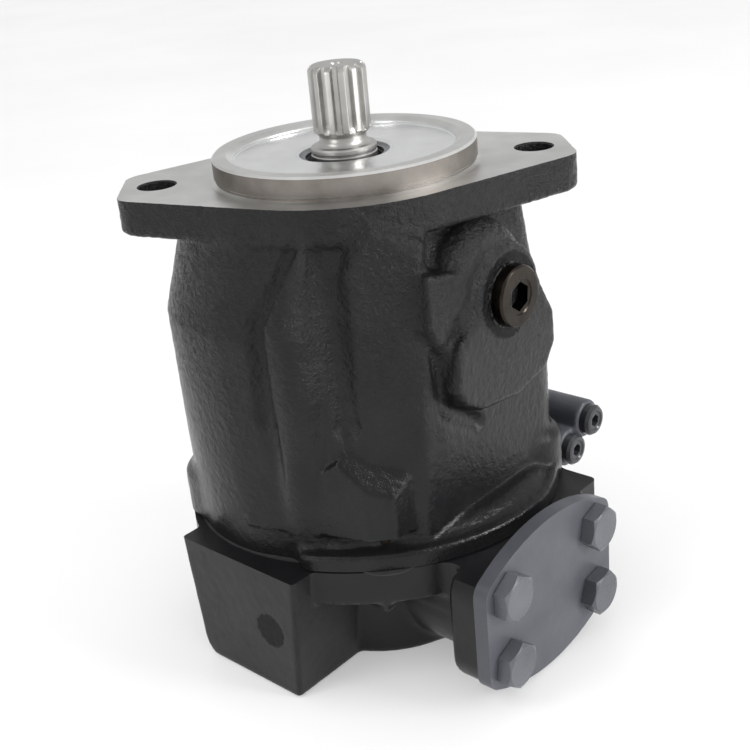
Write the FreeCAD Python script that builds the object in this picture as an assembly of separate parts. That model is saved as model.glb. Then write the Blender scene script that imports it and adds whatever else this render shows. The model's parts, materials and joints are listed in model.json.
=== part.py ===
import FreeCAD, Part
import math
import os

os.makedirs("parts", exist_ok=True)

# Axial piston pump, swash-plate type, in millimetres.
# Origin: centre of the mounting-flange face, on the shaft axis. +Z runs out along the shaft,
# +X along the line of the two flange holes. The port block's own axes, u (towards the suction
# port) and w (towards the control valve), are turned 45 degrees from X and Y.

# ---------------------------------------------------------------- driving dimensions

# mounting flange, two-bolt, 101.6 mm pilot
PILOT_R = 50.8
PILOT_TOP = 9.2
PILOT_CHAMFER = 0.8
PILOT_GROOVE_DEPTH = 0.5
PILOT_GROOVE_LOW = 0.6
PILOT_GROOVE_HIGH = 1.6
RECESS_R = 42.8
RECESS_FLOOR = 6.5
FLANGE_HOLE_X = 73.0
FLANGE_HOLE_R = 7.15
FLANGE_T = 14.0
FLANGE_HUB_R = 59.5
EAR_CORNER_X = 76.0
EAR_CORNER_Y = 11.0
EAR_CORNER_R = 11.0

# cast housing
NECK_A = 66.0
NECK_B = 56.0
NECK_TOP = -12.0
SHOULDER_Z = -48.0
BODY_A = 76.0
BODY_B = 63.0
SIDE_FLAT_U = 58.0
SIDE_FLAT_LOW = -128.0
SIDE_FLAT_TOP = -92.0
JOINT_Z = -140.0
CAVITY_R = 50.0
CAVITY_TOP = -48.0
HUB_BORE_R = 30.0
FOOT_LUG_X = 66.0
FOOT_LUG_Y = 58.0
FOOT_LUG_R = 14.0
FOOT_LUG_H = 22.0
FRONT_LUG_X = (-20.0, 13.0)
FRONT_LUG_Y = -69.0
FRONT_LUG_Z = (-124.0, -88.0)
SIDE_LUG_U = 63.0
SIDE_LUG_W = (-30.0, -19.0)
SIDE_LUG_Z = (-54.0, -25.0)

# case drain boss and plug, axis along u
DRAIN_W = 13.5
DRAIN_Z = -46.0
DRAIN_FACE = 65.0
DRAIN_PAD_R = 25.0
DRAIN_PAD_FOOT_W = 7.0
DRAIN_PAD_FOOT_Z = -66.0
DRAIN_PAD_FAR_W = 22.0
DRAIN_SPOT_R = 17.0
DRAIN_SPOT_DEPTH = 1.5
DRAIN_THREAD_R = 10.5
DRAIN_HEAD_R = 12.0
DRAIN_HEAD_H = 5.0
DRAIN_HEX = 10.0
DRAIN_HEX_DEPTH = 6.0
DRAIN_THREAD_END = 12.0
DRAIN_THREAD_DEPTH = 13.0
DRAIN_PASSAGE_R = 6.5
DRAIN_SEAL_T = 1.5
DRAIN_CHAMFER = 0.8
SECOND_BOSS_R = 21.0

# port block
PLATE_A = 79.0
PLATE_B = 69.0
PLATE_LOW = -155.0
BLOCK_LOW = -195.0
CORE_R = 46.0
LEFT_U = (-40.0, 25.0)
LEFT_W = -77.0
LEFT_EDGE_ROUND = 3.0
RIGHT_U = 76.0
RIGHT_W = 54.0
RIGHT_LOW = -189.0
PORT_Z = -161.0
ARM_R = 31.0
PORT_FACE = 83.0
PORT_FLANGE_T = 12.0
COVER_HALF_W = 42.0
COVER_HALF_H = 33.0
COVER_ARC_R = 80.0
COVER_CORNER = 7.0
COVER_T = 6.0
SUCTION_R = 16.0
SUCTION_END_U = 20.0
SUCTION_BOLT_W = 29.35
SUCTION_BOLT_Z = 15.1
PRESSURE_FACE = -78.0
PRESSURE_R = 9.5
PRESSURE_END_U = -24.0
PRESSURE_PAD_W = 32.0
PRESSURE_BOLT_W = 23.8
PRESSURE_BOLT_Z = 11.1
PORT_BOLT_R = 5.0
PORT_THREAD_R = 4.25
PORT_THREAD_DEPTH = 18.0
COVER_BOLT_L = 16.0
BOLT_HEX = 17.0
BOLT_HEAD_H = 6.4
BLOCK_PLUG_U = 8.0
BLOCK_PLUG_Z = -167.0
BLOCK_PLUG_R = 7.0
BLOCK_PLUG_SINK = 2.0
BLOCK_PLUG_L = 9.0
BLOCK_PLUG_BORE = 14.0
BLOCK_PLUG_HEX = 6.0
BLOCK_PLUG_HEX_DEPTH = 5.0
TAB_U = 43.0
TAB_W = -46.0
TAB_HALF = 4.8
TAB_DROP = 3.5

# kidney slots, joining the ports to the valve plate
KIDNEY_R = 30.0
KIDNEY_HALF = 4.0
KIDNEY_SWEEP = 62.0
KIDNEY_LOW = -156.0

# block screws, M10
SCREW_R = 5.0
SCREW_HEAD_R = 8.0
SCREW_HEAD_H = 10.0
SCREW_HEX = 8.0
SCREW_TOP = -122.0
SCREW_GAP = 1.0
SCREW_SINK = 10.5

# sheet gasket at the joint, and the seal ring behind the suction cover
GASKET_T = 0.5
PORT_RING_R = 20.5
PORT_RING_HALF_T = 1.35
PORT_RING_DEPTH = 2.4
PORT_GROOVE_HALF = 1.5

# shaft
SHAFT_TOP = 39.0
SPLINE_TEETH = 13
SPLINE_TIP_R = 11.1
SPLINE_ROOT_R = 9.2
SPLINE_TIP_HALF = math.radians(4.2)
SPLINE_ROOT_HALF = math.radians(9.6)
SPLINE_LOW = 12.5
SPLINE_RUNOUT = 3.0
NECK_R = 9.0
COLLAR_R = 12.75
COLLAR_TOP = 8.8
COLLAR_CHAMFER = 0.8
FRONT_SEAT_R = 12.5
SHAFT_SHOULDER_R = 16.0
SHAFT_SHOULDER_L = 5.0
SHAFT_END_ROOM = 4.0
SHAFT_R = 12.2
DRIVE_TEETH = 20
DRIVE_TIP_R = 13.4
DRIVE_ROOT_R = 12.2
DRIVE_TIP_HALF = math.radians(3.4)
DRIVE_CLEAR = 0.1
DRIVE_CLEAR_ANGLE = 0.004
DRIVE_ROOT_HALF = math.radians(5.6)
DRIVE_Z = (-108.0, -88.0)
REAR_SHAFT_R = 10.4
REAR_SEAT_R = 8.5
SHAFT_LOW = -158.0

# tapered roller bearings
FRONT_CUP_R = 26.0
FRONT_CUP_TOP = -5.3
FRONT_BEARING_T = 16.2
REAR_CUP_R = 20.0
REAR_CONE_TOP = -142.5
REAR_BEARING_T = 13.2
RACE_CLEAR = 0.02
SHIM_T = 1.0
ROLLER_TILT = math.radians(-11.0)
FRONT_ROLLERS = {"count": 15, "pitch_r": 19.3, "big_r": 3.5, "small_r": 3.05, "length": 11.0}
REAR_ROLLERS = {"count": 12, "pitch_r": 14.2, "big_r": 3.0, "small_r": 2.6, "length": 8.6}
CAGE_HALF_T = 0.45
CAGE_RUN = 1.2

# shaft seal and its ring
SEAL_R = 17.5
SEAL_LOW = -3.0
SEAL_WALL = 1.6
SEAL_LIP = 1.0
CLIP_CLEAR = 0.05
CLIP_REACH = 2.3
CLIP_GAP_HALF = 2.2
SEAL_TOP = 3.6
CLIP_TOP = 4.9
CLIP_GROOVE_R = 18.4

# swash plate, held at zero stroke
TILT_Z = -66.0
SWASH_FACE = -58.0
SWASH_DISC_R = 41.5
SWASH_DISC_T = 8.0
SWASH_RAIL_STEP = 4.0
SWASH_R = 34.0
SWASH_HALF_U = 37.0
SWASH_HOLE_R = 19.0
CRADLE_T = 2.4
CRADLE_INNER_U = 21.0
CRADLE_ANGLE = 34.0
ARM_HALF_U = 8.0
ARM_OUT_W = 58.0
ARM_ROOM = 3.0
ARM_ROOM_UP = 60.0
ARM_TOP = -47.0

# rotating group
PISTONS = 9
PISTON_R = 7.5
PISTON_CLEAR = 0.02
PISTON_PITCH_R = 30.0
PISTON_LOW = -119.0
PISTON_NECK_R = 3.6
PISTON_NECK_L = 7.0
PISTON_TAPER = 2.5
PISTON_HOLLOW_R = 4.4
PISTON_HOLLOW_L = 30.0
OIL_PASSAGE_R = 1.0
BALL_R = 5.6
FILM = 0.1
SHOE_R = 9.6
SHOE_FOOT_T = 3.0
SHOE_CUP_R = 8.0
SHOE_POCKET_R = 6.6
SHOE_POCKET = 0.8
SHOE_PASSAGE_R = 1.2
SHOE_CUP_LOW = -69.0
RETAINER_R = 41.0
RETAINER_TOP = -61.3
RETAINER_T = 4.0
RETAINER_IN_R = 10.0
RETAINER_HOLE_R = 8.4
GUIDE_R = 19.0
GUIDE_CLEAR = 0.05
GUIDE_DROP = 13.0
GUIDE_FOOT_R = 17.6
GUIDE_ZONE = (7.0, 5.0)
BARREL_R = 40.0
BARREL_TOP = -84.0
BARREL_LOW = -136.0
BORE_LOW = -128.0
VALVE_PLATE_R = 40.0
VALVE_PLATE_IN_R = 20.6
DOWEL_R = 1.5
DOWEL_W = 36.5
DOWEL_DEPTH = 5.0
SPRING_ROOM_R = 17.5
BARREL_CLIP_UP = 4.0
BARREL_CLIP_T = 1.5
WASHER_T = 1.8
SPRING_WIRE_R = 1.5
BARREL_SPRING_R = 14.2
BARREL_SPRING_TURNS = 3.5
PIN_R = 1.4
PIN_PITCH_R = 16.0
SPRING_ROOM_TOP = -110.0

# stroking cylinders on the w axis
STROKE_W = 51.0
STROKE_TIP_R = 4.0
CONTROL_PISTON_GRIP = 22.0
CONTROL_TIP_L = 6.0
CONTROL_HOLLOW_R = 4.5
CONTROL_HOLLOW_L = 20.0
BIAS_PISTON_L = 24.0
BIAS_TIP_L = 5.0
BIAS_SEAT_R = 9.5
BIAS_SEAT_T = 4.0
BIAS_SPIGOT_R = 4.8
BIAS_SPIGOT_L = 5.0
BIAS_SPRING_R = 6.8
BIAS_TURNS = 7
STROKE_POCKET_R = 10.0
SLEEVE_R = 9.5
SLEEVE_TOP = -92.0
CONTROL_PISTON_R = 7.0
BIAS_PISTON_R = 8.5

# control valve, spools along u
VALVE_PAD_W = 64.0
VALVE_BORES = {"pressure": (85.0, -131.0), "flow": (73.0, -141.0)}
SPOOL_R = 4.0
SPOOL_CLEAR = 0.02
SPOOL_U = (-12.0, 41.0)
CHAMBER_R = 6.8
CHAMBER_U = (-34.0, -12.0)
VALVE_END_U = {"pressure": 52.0, "flow": 50.0}
VALVE_PLUG_HEAD = 5.0
VALVE_PAD_U = (-28.0, 32.0)
VALVE_TOP = -110.0
VALVE_LOW = -154.0
VALVE_BODY_W = 84.0
VALVE_BARREL_R = 8.6
VALVE_SCREW_GRIP = 8.0
VALVE_SCREW_R = 2.5
VALVE_PASSAGES = [-10.0, 2.0, 14.0]
VALVE_PASSAGE_Z = -125.0
VALVE_SEAL_R = 4.5
VALVE_SEAL_T = 1.2
VALVE_SCREWS = [(-21.0, -116.0), (25.0, -116.0), (-21.0, -150.0), (25.0, -150.0)]
VALVE_SCREW_HEAD_R = 4.2
VALVE_SCREW_HEAD_H = 5.0
VALVE_SCREW_HEX = 4.0
VALVE_PLUG_R = 7.0
VALVE_PLUG_SHANK_R = 5.2
VALVE_PLUG_SHANK_U = 43.5
VALVE_PLUG_HEX = 5.0
VALVE_PLUG_HEX_DEPTH = 3.5
SPOOL_GROOVES = [-2.0, 12.0, 26.0]
SPOOL_GROOVE_L = 6.0
SPOOL_WAIST_R = 2.4
SEAT_T = 1.4
SEAT_STEM_R = 2.6
SEAT_STEM_L = 2.6
VALVE_SPRING_R = 4.6
VALVE_SPRING_WIRE_R = 0.8
VALVE_SPRING_TURNS = 5
ADJUSTER_R = 3.0
ADJUSTER_L = 20.0
ADJUSTER_DISC_R = 5.6
ADJUSTER_DISC = (4.5, 6.5)
ADJUSTER_HEX = 3.0
CAP_FLATS = {"pressure": 17.0, "flow": 15.0}
CAP_HEAD = 9.0
NUT_FLATS = 10.0
NUT_T = 5.0
TOUCH = 0.02
NEAR = 1e-6

# ---------------------------------------------------------------- helpers

Vec = FreeCAD.Vector
ORIGIN = Vec(0, 0, 0)
X_AXIS = Vec(1, 0, 0)
Y_AXIS = Vec(0, 1, 0)
Z_AXIS = Vec(0, 0, 1)
PORT_TURN = -45.0


def cyl(r, low, high, x=0.0, y=0.0):
    """Upright cylinder between two heights."""
    return Part.makeCylinder(r, high - low, Vec(x, y, low))


def ring(outer, inner, low, high, x=0.0, y=0.0):
    return cyl(outer, low, high, x, y).cut(cyl(inner, low - 1, high + 1, x, y))


def rod(r, start, end, y, z):
    """Cylinder along the first axis, from start to end."""
    direction = Vec(math.copysign(1, end - start), 0, 0)
    return Part.makeCylinder(r, abs(end - start), Vec(start, y, z), direction)


def rod_w(r, start, end, x, z):
    """Cylinder along the second axis, from start to end."""
    direction = Vec(0, math.copysign(1, end - start), 0)
    return Part.makeCylinder(r, abs(end - start), Vec(x, start, z), direction)


def box(xs, ys, zs):
    low = Vec(min(xs), min(ys), min(zs))
    return Part.makeBox(abs(xs[1] - xs[0]), abs(ys[1] - ys[0]), abs(zs[1] - zs[0]), low)


def fuse(shapes):
    shapes = list(shapes)
    return shapes[0].multiFuse(shapes[1:]).removeSplitter() if len(shapes) > 1 else shapes[0]


def cut(shape, tools):
    for tool in tools:
        shape = shape.cut(tool)
    return shape


def revolve(points, x=0.0, y=0.0):
    """Turned solid from (radius, height) points."""
    wire = Part.makePolygon([Vec(x + r, y, z) for r, z in points + points[:1]])
    return Part.Face(wire).revolve(Vec(x, y, 0), Z_AXIS, 360)


def around(shape, count, first=0.0):
    """Copies of a shape, evenly spaced about the Z axis."""
    copies = []
    for i in range(count):
        copy = shape.copy()
        copy.rotate(ORIGIN, Z_AXIS, first + 360.0 * i / count)
        copies.append(copy)
    return copies


def in_port_frame(shape):
    """Turn a shape built on u, w and Z into the part's frame."""
    turned = shape.copy()
    turned.rotate(ORIGIN, Z_AXIS, PORT_TURN)
    return turned


def hexagon(flats, start, height, y=0.0, z=0.0):
    """Hexagonal prism along the first axis with a corner up."""
    corners = []
    r = flats / math.sqrt(3)
    for i in range(7):
        a = math.radians(60 * i)
        corners.append(Vec(start, y + r * math.sin(a), z + r * math.cos(a)))
    return Part.Face(Part.makePolygon(corners)).extrude(Vec(height, 0, 0))


def chamfered_hexagon(flats, start, height, y, z):
    """Hexagonal head along the first axis with its outer corners turned down."""
    head = hexagon(flats, start, height, y, z)
    far = start + height
    tip = flats / 2 * 0.96
    slope = 0.5 * flats
    run = slope / math.tan(math.radians(60))
    direction = Vec(-math.copysign(1, height), 0, 0)
    turned = Part.makeCone(tip, tip + slope, run, Vec(far, y, z), direction)
    return head.common(fuse([turned, rod(flats, far + direction.x * run, start, y, z)]))


def spline(teeth, tip_r, root_r, tip_half, root_half, low, high):
    """Straight-flanked external spline."""
    points = []
    flank = ((root_r, -root_half), (tip_r, -tip_half), (tip_r, tip_half), (root_r, root_half))
    for i in range(teeth):
        mid = 2 * math.pi * i / teeth
        for radius, angle in flank:
            points.append(Vec(radius * math.cos(mid + angle), radius * math.sin(mid + angle), low))
    return Part.Face(Part.makePolygon(points + points[:1])).extrude(Vec(0, 0, high - low))


def spring(mean_r, wire_r, low, high, turns, x=0.0, y=0.0):
    """Round-wire compression spring standing on Z."""
    height = high - low - 2 * wire_r
    helix = Part.makeHelix(height / turns, height, mean_r)
    helix.translate(Vec(x, y, low + wire_r))
    section = Part.Wire(Part.makeCircle(wire_r, Vec(x + mean_r, y, low + wire_r), Y_AXIS))
    return Part.Wire(helix).makePipeShell([section], True, True)


def lying(shape, y, z):
    """Lay a shape that stands on Z along the first axis, on the line through y and z."""
    laid = shape.copy()
    laid.rotate(ORIGIN, Y_AXIS, 90)
    laid.translate(Vec(0, y, z))
    return laid


def ellipse_prism(a, b, low, high):
    edge = Part.Ellipse(Vec(0, 0, low), a, b).toShape()
    return Part.Face(Part.Wire(edge)).extrude(Vec(0, 0, high - low))


def socket_screw(head_r, head_h, shank_r, length, hex_flats):
    """Socket head cap screw, head up from zero and shank down, standing on Z."""
    screw = fuse([cyl(head_r, 0, head_h), cyl(shank_r, -length, 0)])
    socket = hexagon(hex_flats, 0, head_h * 0.55)
    socket.rotate(ORIGIN, Y_AXIS, -90)
    socket.translate(Vec(0, 0, head_h * 0.45))
    return screw.cut(socket)


def kidney(side, half, low, high):
    """Curved slot on the piston circle, centred on the u axis on one side."""
    band = ring(KIDNEY_R + half, KIDNEY_R - half, low, high)
    reach = 3 * KIDNEY_R
    corners = [ORIGIN]
    for angle in (-KIDNEY_SWEEP, 0, KIDNEY_SWEEP):
        a = math.radians(angle)
        corners.append(Vec(side * reach * math.cos(a), reach * math.sin(a), 0))
    wedge = Part.Face(Part.makePolygon([p + Vec(0, 0, low) for p in corners + corners[:1]]))
    slot = band.common(wedge.extrude(Vec(0, 0, high - low)))
    ends = []
    for angle in (-KIDNEY_SWEEP, KIDNEY_SWEEP):
        a = math.radians(angle)
        ends.append(cyl(half, low, high, side * KIDNEY_R * math.cos(a), KIDNEY_R * math.sin(a)))
    return fuse([slot] + ends)


def tapered_bearing(bore_r, outer_r, thickness, rollers):
    """Cup, cone, rollers and cage with the rollers' large ends near zero, rising to the small ends."""
    along = (-math.sin(ROLLER_TILT), math.cos(ROLLER_TILT))
    out = (math.cos(ROLLER_TILT), math.sin(ROLLER_TILT))
    mean_r, length, count = rollers["pitch_r"], rollers["length"], rollers["count"]
    big_r, small_r = rollers["big_r"], rollers["small_r"]
    middle = thickness / 2
    big = (mean_r - along[0] * length / 2, middle - along[1] * length / 2)
    small = (mean_r + along[0] * length / 2, middle + along[1] * length / 2)

    def race(side, gap):
        """Radius of a race at a height, on the outer (1) or inner (-1) side of the rollers."""
        p = [big[i] + side * out[i] * (big_r + gap) for i in (0, 1)]
        q = [small[i] + side * out[i] * (small_r + gap) for i in (0, 1)]
        return lambda z: p[0] + (q[0] - p[0]) * (z - p[1]) / (q[1] - p[1])

    cup_race, cone_race = race(1, RACE_CLEAR), race(-1, 0.0)
    low = 0.18 * thickness
    cup = revolve([
        (outer_r, low), (outer_r, thickness), (cup_race(thickness), thickness), (cup_race(low), low),
    ])
    high = 0.92 * thickness
    rib = cone_race(0) + 0.9 * big_r
    rib_top = big[1] - 0.6
    cone = revolve([
        (bore_r, 0), (rib, 0), (rib, rib_top),
        (cone_race(rib_top), rib_top), (cone_race(high), high), (bore_r, high),
    ])
    lean = Vec(along[0], 0, along[1])
    roller = Part.makeCone(big_r, small_r, length, Vec(big[0], 0, big[1]), lean)
    pocket = Part.makeCone(big_r + 0.2, small_r + 0.2, length + 0.4, Vec(big[0], 0, big[1] - 0.2), lean)
    span = length / 2 + CAGE_RUN
    cage_points = []
    for run, side in ((-span, -1), (-span, 1), (span, 1), (span, -1)):
        off = side * CAGE_HALF_T + 1
        rise = middle + along[1] * run + side * out[1] * CAGE_HALF_T
        cage_points.append((mean_r + along[0] * run + out[0] * off, rise))
    cage = cut(revolve(cage_points), around(pocket, count))
    return cup, cone, Part.makeCompound(around(roller, count)), cage


PARTS = {}


def keep(name, shape):
    PARTS[name] = shape


# ---------------------------------------------------------------- cast housing

def ear_outline():
    """Corners of the flange outline: tangents from the round hub to the rounded ear ends."""
    reach = math.hypot(EAR_CORNER_X, EAR_CORNER_Y)
    lean = math.acos((FLANGE_HUB_R - EAR_CORNER_R) / reach) + math.atan2(EAR_CORNER_Y, EAR_CORNER_X)
    out = Vec(math.cos(lean), math.sin(lean), 0)
    off_hub = out * FLANGE_HUB_R
    on_ear = Vec(EAR_CORNER_X, EAR_CORNER_Y, 0) + out * EAR_CORNER_R
    end = Vec(EAR_CORNER_X + EAR_CORNER_R, EAR_CORNER_Y, 0)
    upper = [off_hub, on_ear, end]
    right = upper + [Vec(p.x, -p.y, 0) for p in reversed(upper)]
    return right + [Vec(-p.x, p.y, 0) for p in reversed(right)]


def mounting_flange():
    corners = ear_outline()
    plate = Part.Face(Part.makePolygon(corners + corners[:1])).extrude(Vec(0, 0, -FLANGE_T))
    rounds = [cyl(FLANGE_HUB_R, -FLANGE_T, 0)]
    for sx in (-1, 1):
        for sy in (-1, 1):
            rounds.append(cyl(EAR_CORNER_R, -FLANGE_T, 0, sx * EAR_CORNER_X, sy * EAR_CORNER_Y))
    return fuse([plate] + rounds)


def cast_body():
    neck_low = Part.Wire(Part.Ellipse(Vec(0, 0, SHOULDER_Z), BODY_A, BODY_B).toShape())
    neck_high = Part.Wire(Part.Ellipse(Vec(0, 0, NECK_TOP), NECK_A, NECK_B).toShape())
    neck = Part.makeLoft([neck_low, neck_high], True, True)
    body = ellipse_prism(BODY_A, BODY_B, JOINT_Z, SHOULDER_Z)
    lugs = []
    for x, y in foot_places():
        lugs.append(cyl(FOOT_LUG_R, JOINT_Z, JOINT_Z + FOOT_LUG_H, x, y))
    lugs.append(box(FRONT_LUG_X, (FRONT_LUG_Y, -BODY_B + 8), FRONT_LUG_Z))
    return fuse([neck, body] + lugs)


def foot_places():
    return [(FOOT_LUG_X, 0), (0, FOOT_LUG_Y), (-FOOT_LUG_X, 0), (0, -FOOT_LUG_Y)]


def drain_pad():
    """Raised pad on the side, built on u, w and Z."""
    top = rod(DRAIN_PAD_R, CAVITY_R, DRAIN_FACE, DRAIN_W, DRAIN_Z)
    foot = rod(DRAIN_PAD_R, CAVITY_R, DRAIN_FACE, DRAIN_PAD_FOOT_W, DRAIN_PAD_FOOT_Z)
    far = rod(DRAIN_PAD_R, CAVITY_R, DRAIN_FACE, DRAIN_PAD_FAR_W, DRAIN_PAD_FOOT_Z)
    lug = box((CAVITY_R, SIDE_LUG_U), SIDE_LUG_W, SIDE_LUG_Z)
    return fuse([top, foot, far, lug])


def housing_hollow():
    rooms = [
        cyl(CAVITY_R, JOINT_Z - 1, CAVITY_TOP),
        cyl(HUB_BORE_R, CAVITY_TOP - 1, FRONT_CUP_TOP - FRONT_BEARING_T - 1),
        cyl(FRONT_CUP_R, CAVITY_TOP - 1, FRONT_CUP_TOP),
        cyl(SEAL_R, FRONT_CUP_TOP - 1, PILOT_TOP),
        cyl(RECESS_R, RECESS_FLOOR, PILOT_TOP + 1),
        cyl(CLIP_GROOVE_R, SEAL_TOP, CLIP_TOP),
    ]
    seat_r = SWASH_R + CRADLE_T + 0.1
    seat = rod(seat_r, -SWASH_HALF_U - 2, SWASH_HALF_U + 2, 0, TILT_Z)
    pockets = [cyl(STROKE_POCKET_R, JOINT_Z - 1, ARM_TOP + 1, 0, side * STROKE_W) for side in (-1, 1)]
    arm_u = (-ARM_HALF_U - ARM_ROOM, ARM_HALF_U + ARM_ROOM)
    arm_w = (-ARM_OUT_W - ARM_ROOM, ARM_OUT_W + ARM_ROOM)
    arm_room = box(arm_u, arm_w, (JOINT_Z + ARM_ROOM_UP, ARM_TOP + 2))
    return rooms + [in_port_frame(shape) for shape in [seat, arm_room] + pockets]


def drain_holes():
    tools = []
    for side, face in ((1, DRAIN_FACE), (-1, DRAIN_FACE)):
        w = side * DRAIN_W
        tools.append(rod(DRAIN_SPOT_R, side * (face - DRAIN_SPOT_DEPTH), side * (face + 20), w, DRAIN_Z))
        seat = face - DRAIN_SPOT_DEPTH
        tools.append(rod(DRAIN_THREAD_R, side * (seat - DRAIN_THREAD_DEPTH), side * face, w, DRAIN_Z))
        tools.append(rod(DRAIN_PASSAGE_R, side * HUB_BORE_R, side * face, w, DRAIN_Z))
    return [in_port_frame(tool) for tool in tools]


def rear_drain_boss():
    """Second case port, on the far side from the drain plug."""
    return rod(SECOND_BOSS_R, -CAVITY_R, -DRAIN_FACE, -DRAIN_W, DRAIN_Z)


def valve_pad():
    """Raised pad that carries the control valve, built on u, w and Z."""
    return box(VALVE_PAD_U, (CAVITY_R, VALVE_PAD_W), (JOINT_Z, VALVE_TOP))


def valve_flat():
    """Room in front of the control valve's mounting face."""
    return box((-60, 60), (VALVE_PAD_W, 2 * VALVE_PAD_W), (BLOCK_LOW, VALVE_TOP + 6))


pilot = cyl(PILOT_R, -1, PILOT_TOP)
pilot_rim = [e for e in pilot.Edges if abs(e.BoundBox.ZMin - PILOT_TOP) < NEAR]
pilot = pilot.makeChamfer(PILOT_CHAMFER, pilot_rim)
groove = ring(PILOT_R + 1, PILOT_R - PILOT_GROOVE_DEPTH, PILOT_GROOVE_LOW, PILOT_GROOVE_HIGH)
side_shapes = [in_port_frame(shape) for shape in (drain_pad(), rear_drain_boss(), valve_pad())]
housing = fuse([cast_body(), mounting_flange(), pilot] + side_shapes).cut(groove)
housing = cut(housing, housing_hollow() + drain_holes() + [in_port_frame(valve_flat())])
housing = cut(housing, [cyl(FLANGE_HOLE_R, -FLANGE_T - 4, 1, side * FLANGE_HOLE_X) for side in (-1, 1)])
housing = cut(housing, [cyl(SCREW_R, JOINT_Z - 1, SCREW_TOP, x, y) for x, y in foot_places()])
valve_threads = [
    in_port_frame(rod_w(VALVE_SCREW_R, VALVE_PAD_W + 1, VALVE_PAD_W - VALVE_SCREW_GRIP - 1, u, z))
    for u, z in VALVE_SCREWS
]
housing = cut(housing, valve_threads)
side_flat = box((SIDE_FLAT_U, 2 * BODY_A), (-BODY_A, BODY_A), (SIDE_FLAT_LOW, SIDE_FLAT_TOP))
housing = housing.cut(in_port_frame(side_flat))
gasket_room = cyl(2 * BODY_A, JOINT_Z, JOINT_Z + GASKET_T)
keep("pump_housing", housing.cut(gasket_room))
keep("joint_gasket", housing.common(gasket_room))

# ---------------------------------------------------------------- port block

def cover_outline(grow, start, length):
    """Oblong port outline: upright sides, arched top and bottom, rounded corners, built along u."""
    half_w, half_h = COVER_HALF_W + grow, COVER_HALF_H + grow
    arched = rod(COVER_ARC_R, start, start + length, 0, PORT_Z - (COVER_ARC_R - half_h))
    arched = arched.common(rod(COVER_ARC_R, start, start + length, 0, PORT_Z + (COVER_ARC_R - half_h)))
    sides = box((start, start + length), (-half_w, half_w), (PORT_Z - half_h, PORT_Z + half_h))
    plate = arched.common(sides)
    along = [e for e in plate.Edges if abs(e.BoundBox.XLength - abs(length)) < NEAR]
    corners = [e for e in along if abs(abs(e.BoundBox.YMin) - half_w) < 1000 * NEAR]
    return plate.makeFillet(COVER_CORNER, corners)


def block_body():
    plate = ellipse_prism(PLATE_A, PLATE_B, PLATE_LOW, JOINT_Z)
    core = cyl(CORE_R, BLOCK_LOW, JOINT_Z)
    left = box(LEFT_U, (LEFT_W, 0), (BLOCK_LOW, JOINT_Z))
    left = left.makeFillet(LEFT_EDGE_ROUND, [e for e in left.Edges if abs(e.BoundBox.YMax - LEFT_W) < NEAR])
    right = box((0, RIGHT_U), (0, RIGHT_W), (RIGHT_LOW, JOINT_Z))
    arm = rod(ARM_R, 0, PORT_FACE - PORT_FLANGE_T + 1, 0, BLOCK_LOW + ARM_R)
    arm = arm.common(box((0, PORT_FACE), (-ARM_R, ARM_R), (BLOCK_LOW, JOINT_Z)))
    arm_top = box((0, PORT_FACE - PORT_FLANGE_T + 1), (-ARM_R, ARM_R), (BLOCK_LOW + ARM_R, JOINT_Z))
    flange = cover_outline(0, PORT_FACE - PORT_FLANGE_T, PORT_FLANGE_T)
    pressure = box((PRESSURE_FACE, 0), (-PRESSURE_PAD_W, PRESSURE_PAD_W), (BLOCK_LOW, JOINT_Z))
    tab_u = (TAB_U - TAB_HALF, TAB_U + TAB_HALF)
    tab_w = (TAB_W - TAB_HALF, TAB_W + TAB_HALF)
    tab = box(tab_u, tab_w, (PLATE_LOW - TAB_DROP, PLATE_LOW))
    body = fuse([core, left, right, arm, arm_top, flange, pressure, tab, to_port_axes(plate)])
    return body.cut(valve_flat())


def to_port_axes(shape):
    turned = shape.copy()
    turned.rotate(ORIGIN, Z_AXIS, -PORT_TURN)
    return turned


def block_holes():
    holes = [
        rod(SUCTION_R, SUCTION_END_U, PORT_FACE + 1, 0, PORT_Z),
        kidney(1, KIDNEY_HALF, KIDNEY_LOW, JOINT_Z + 1),
        kidney(-1, KIDNEY_HALF, KIDNEY_LOW, JOINT_Z + 1),
        rod(PRESSURE_R, PRESSURE_END_U, PRESSURE_FACE - 1, 0, PORT_Z),
        rod_w(BLOCK_PLUG_R, LEFT_W - 1, LEFT_W + BLOCK_PLUG_BORE, BLOCK_PLUG_U, BLOCK_PLUG_Z),
    ]
    for w in (-1, 1):
        for z in (-1, 1):
            at_suction = (w * SUCTION_BOLT_W, PORT_Z + z * SUCTION_BOLT_Z)
            at_pressure = (w * PRESSURE_BOLT_W, PORT_Z + z * PRESSURE_BOLT_Z)
            holes.append(rod(PORT_BOLT_R, PORT_FACE - COVER_BOLT_L, PORT_FACE + 1, *at_suction))
            thread_end = PRESSURE_FACE + PORT_THREAD_DEPTH
            holes.append(rod(PORT_THREAD_R, thread_end, PRESSURE_FACE - 1, *at_pressure))
    return holes


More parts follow.
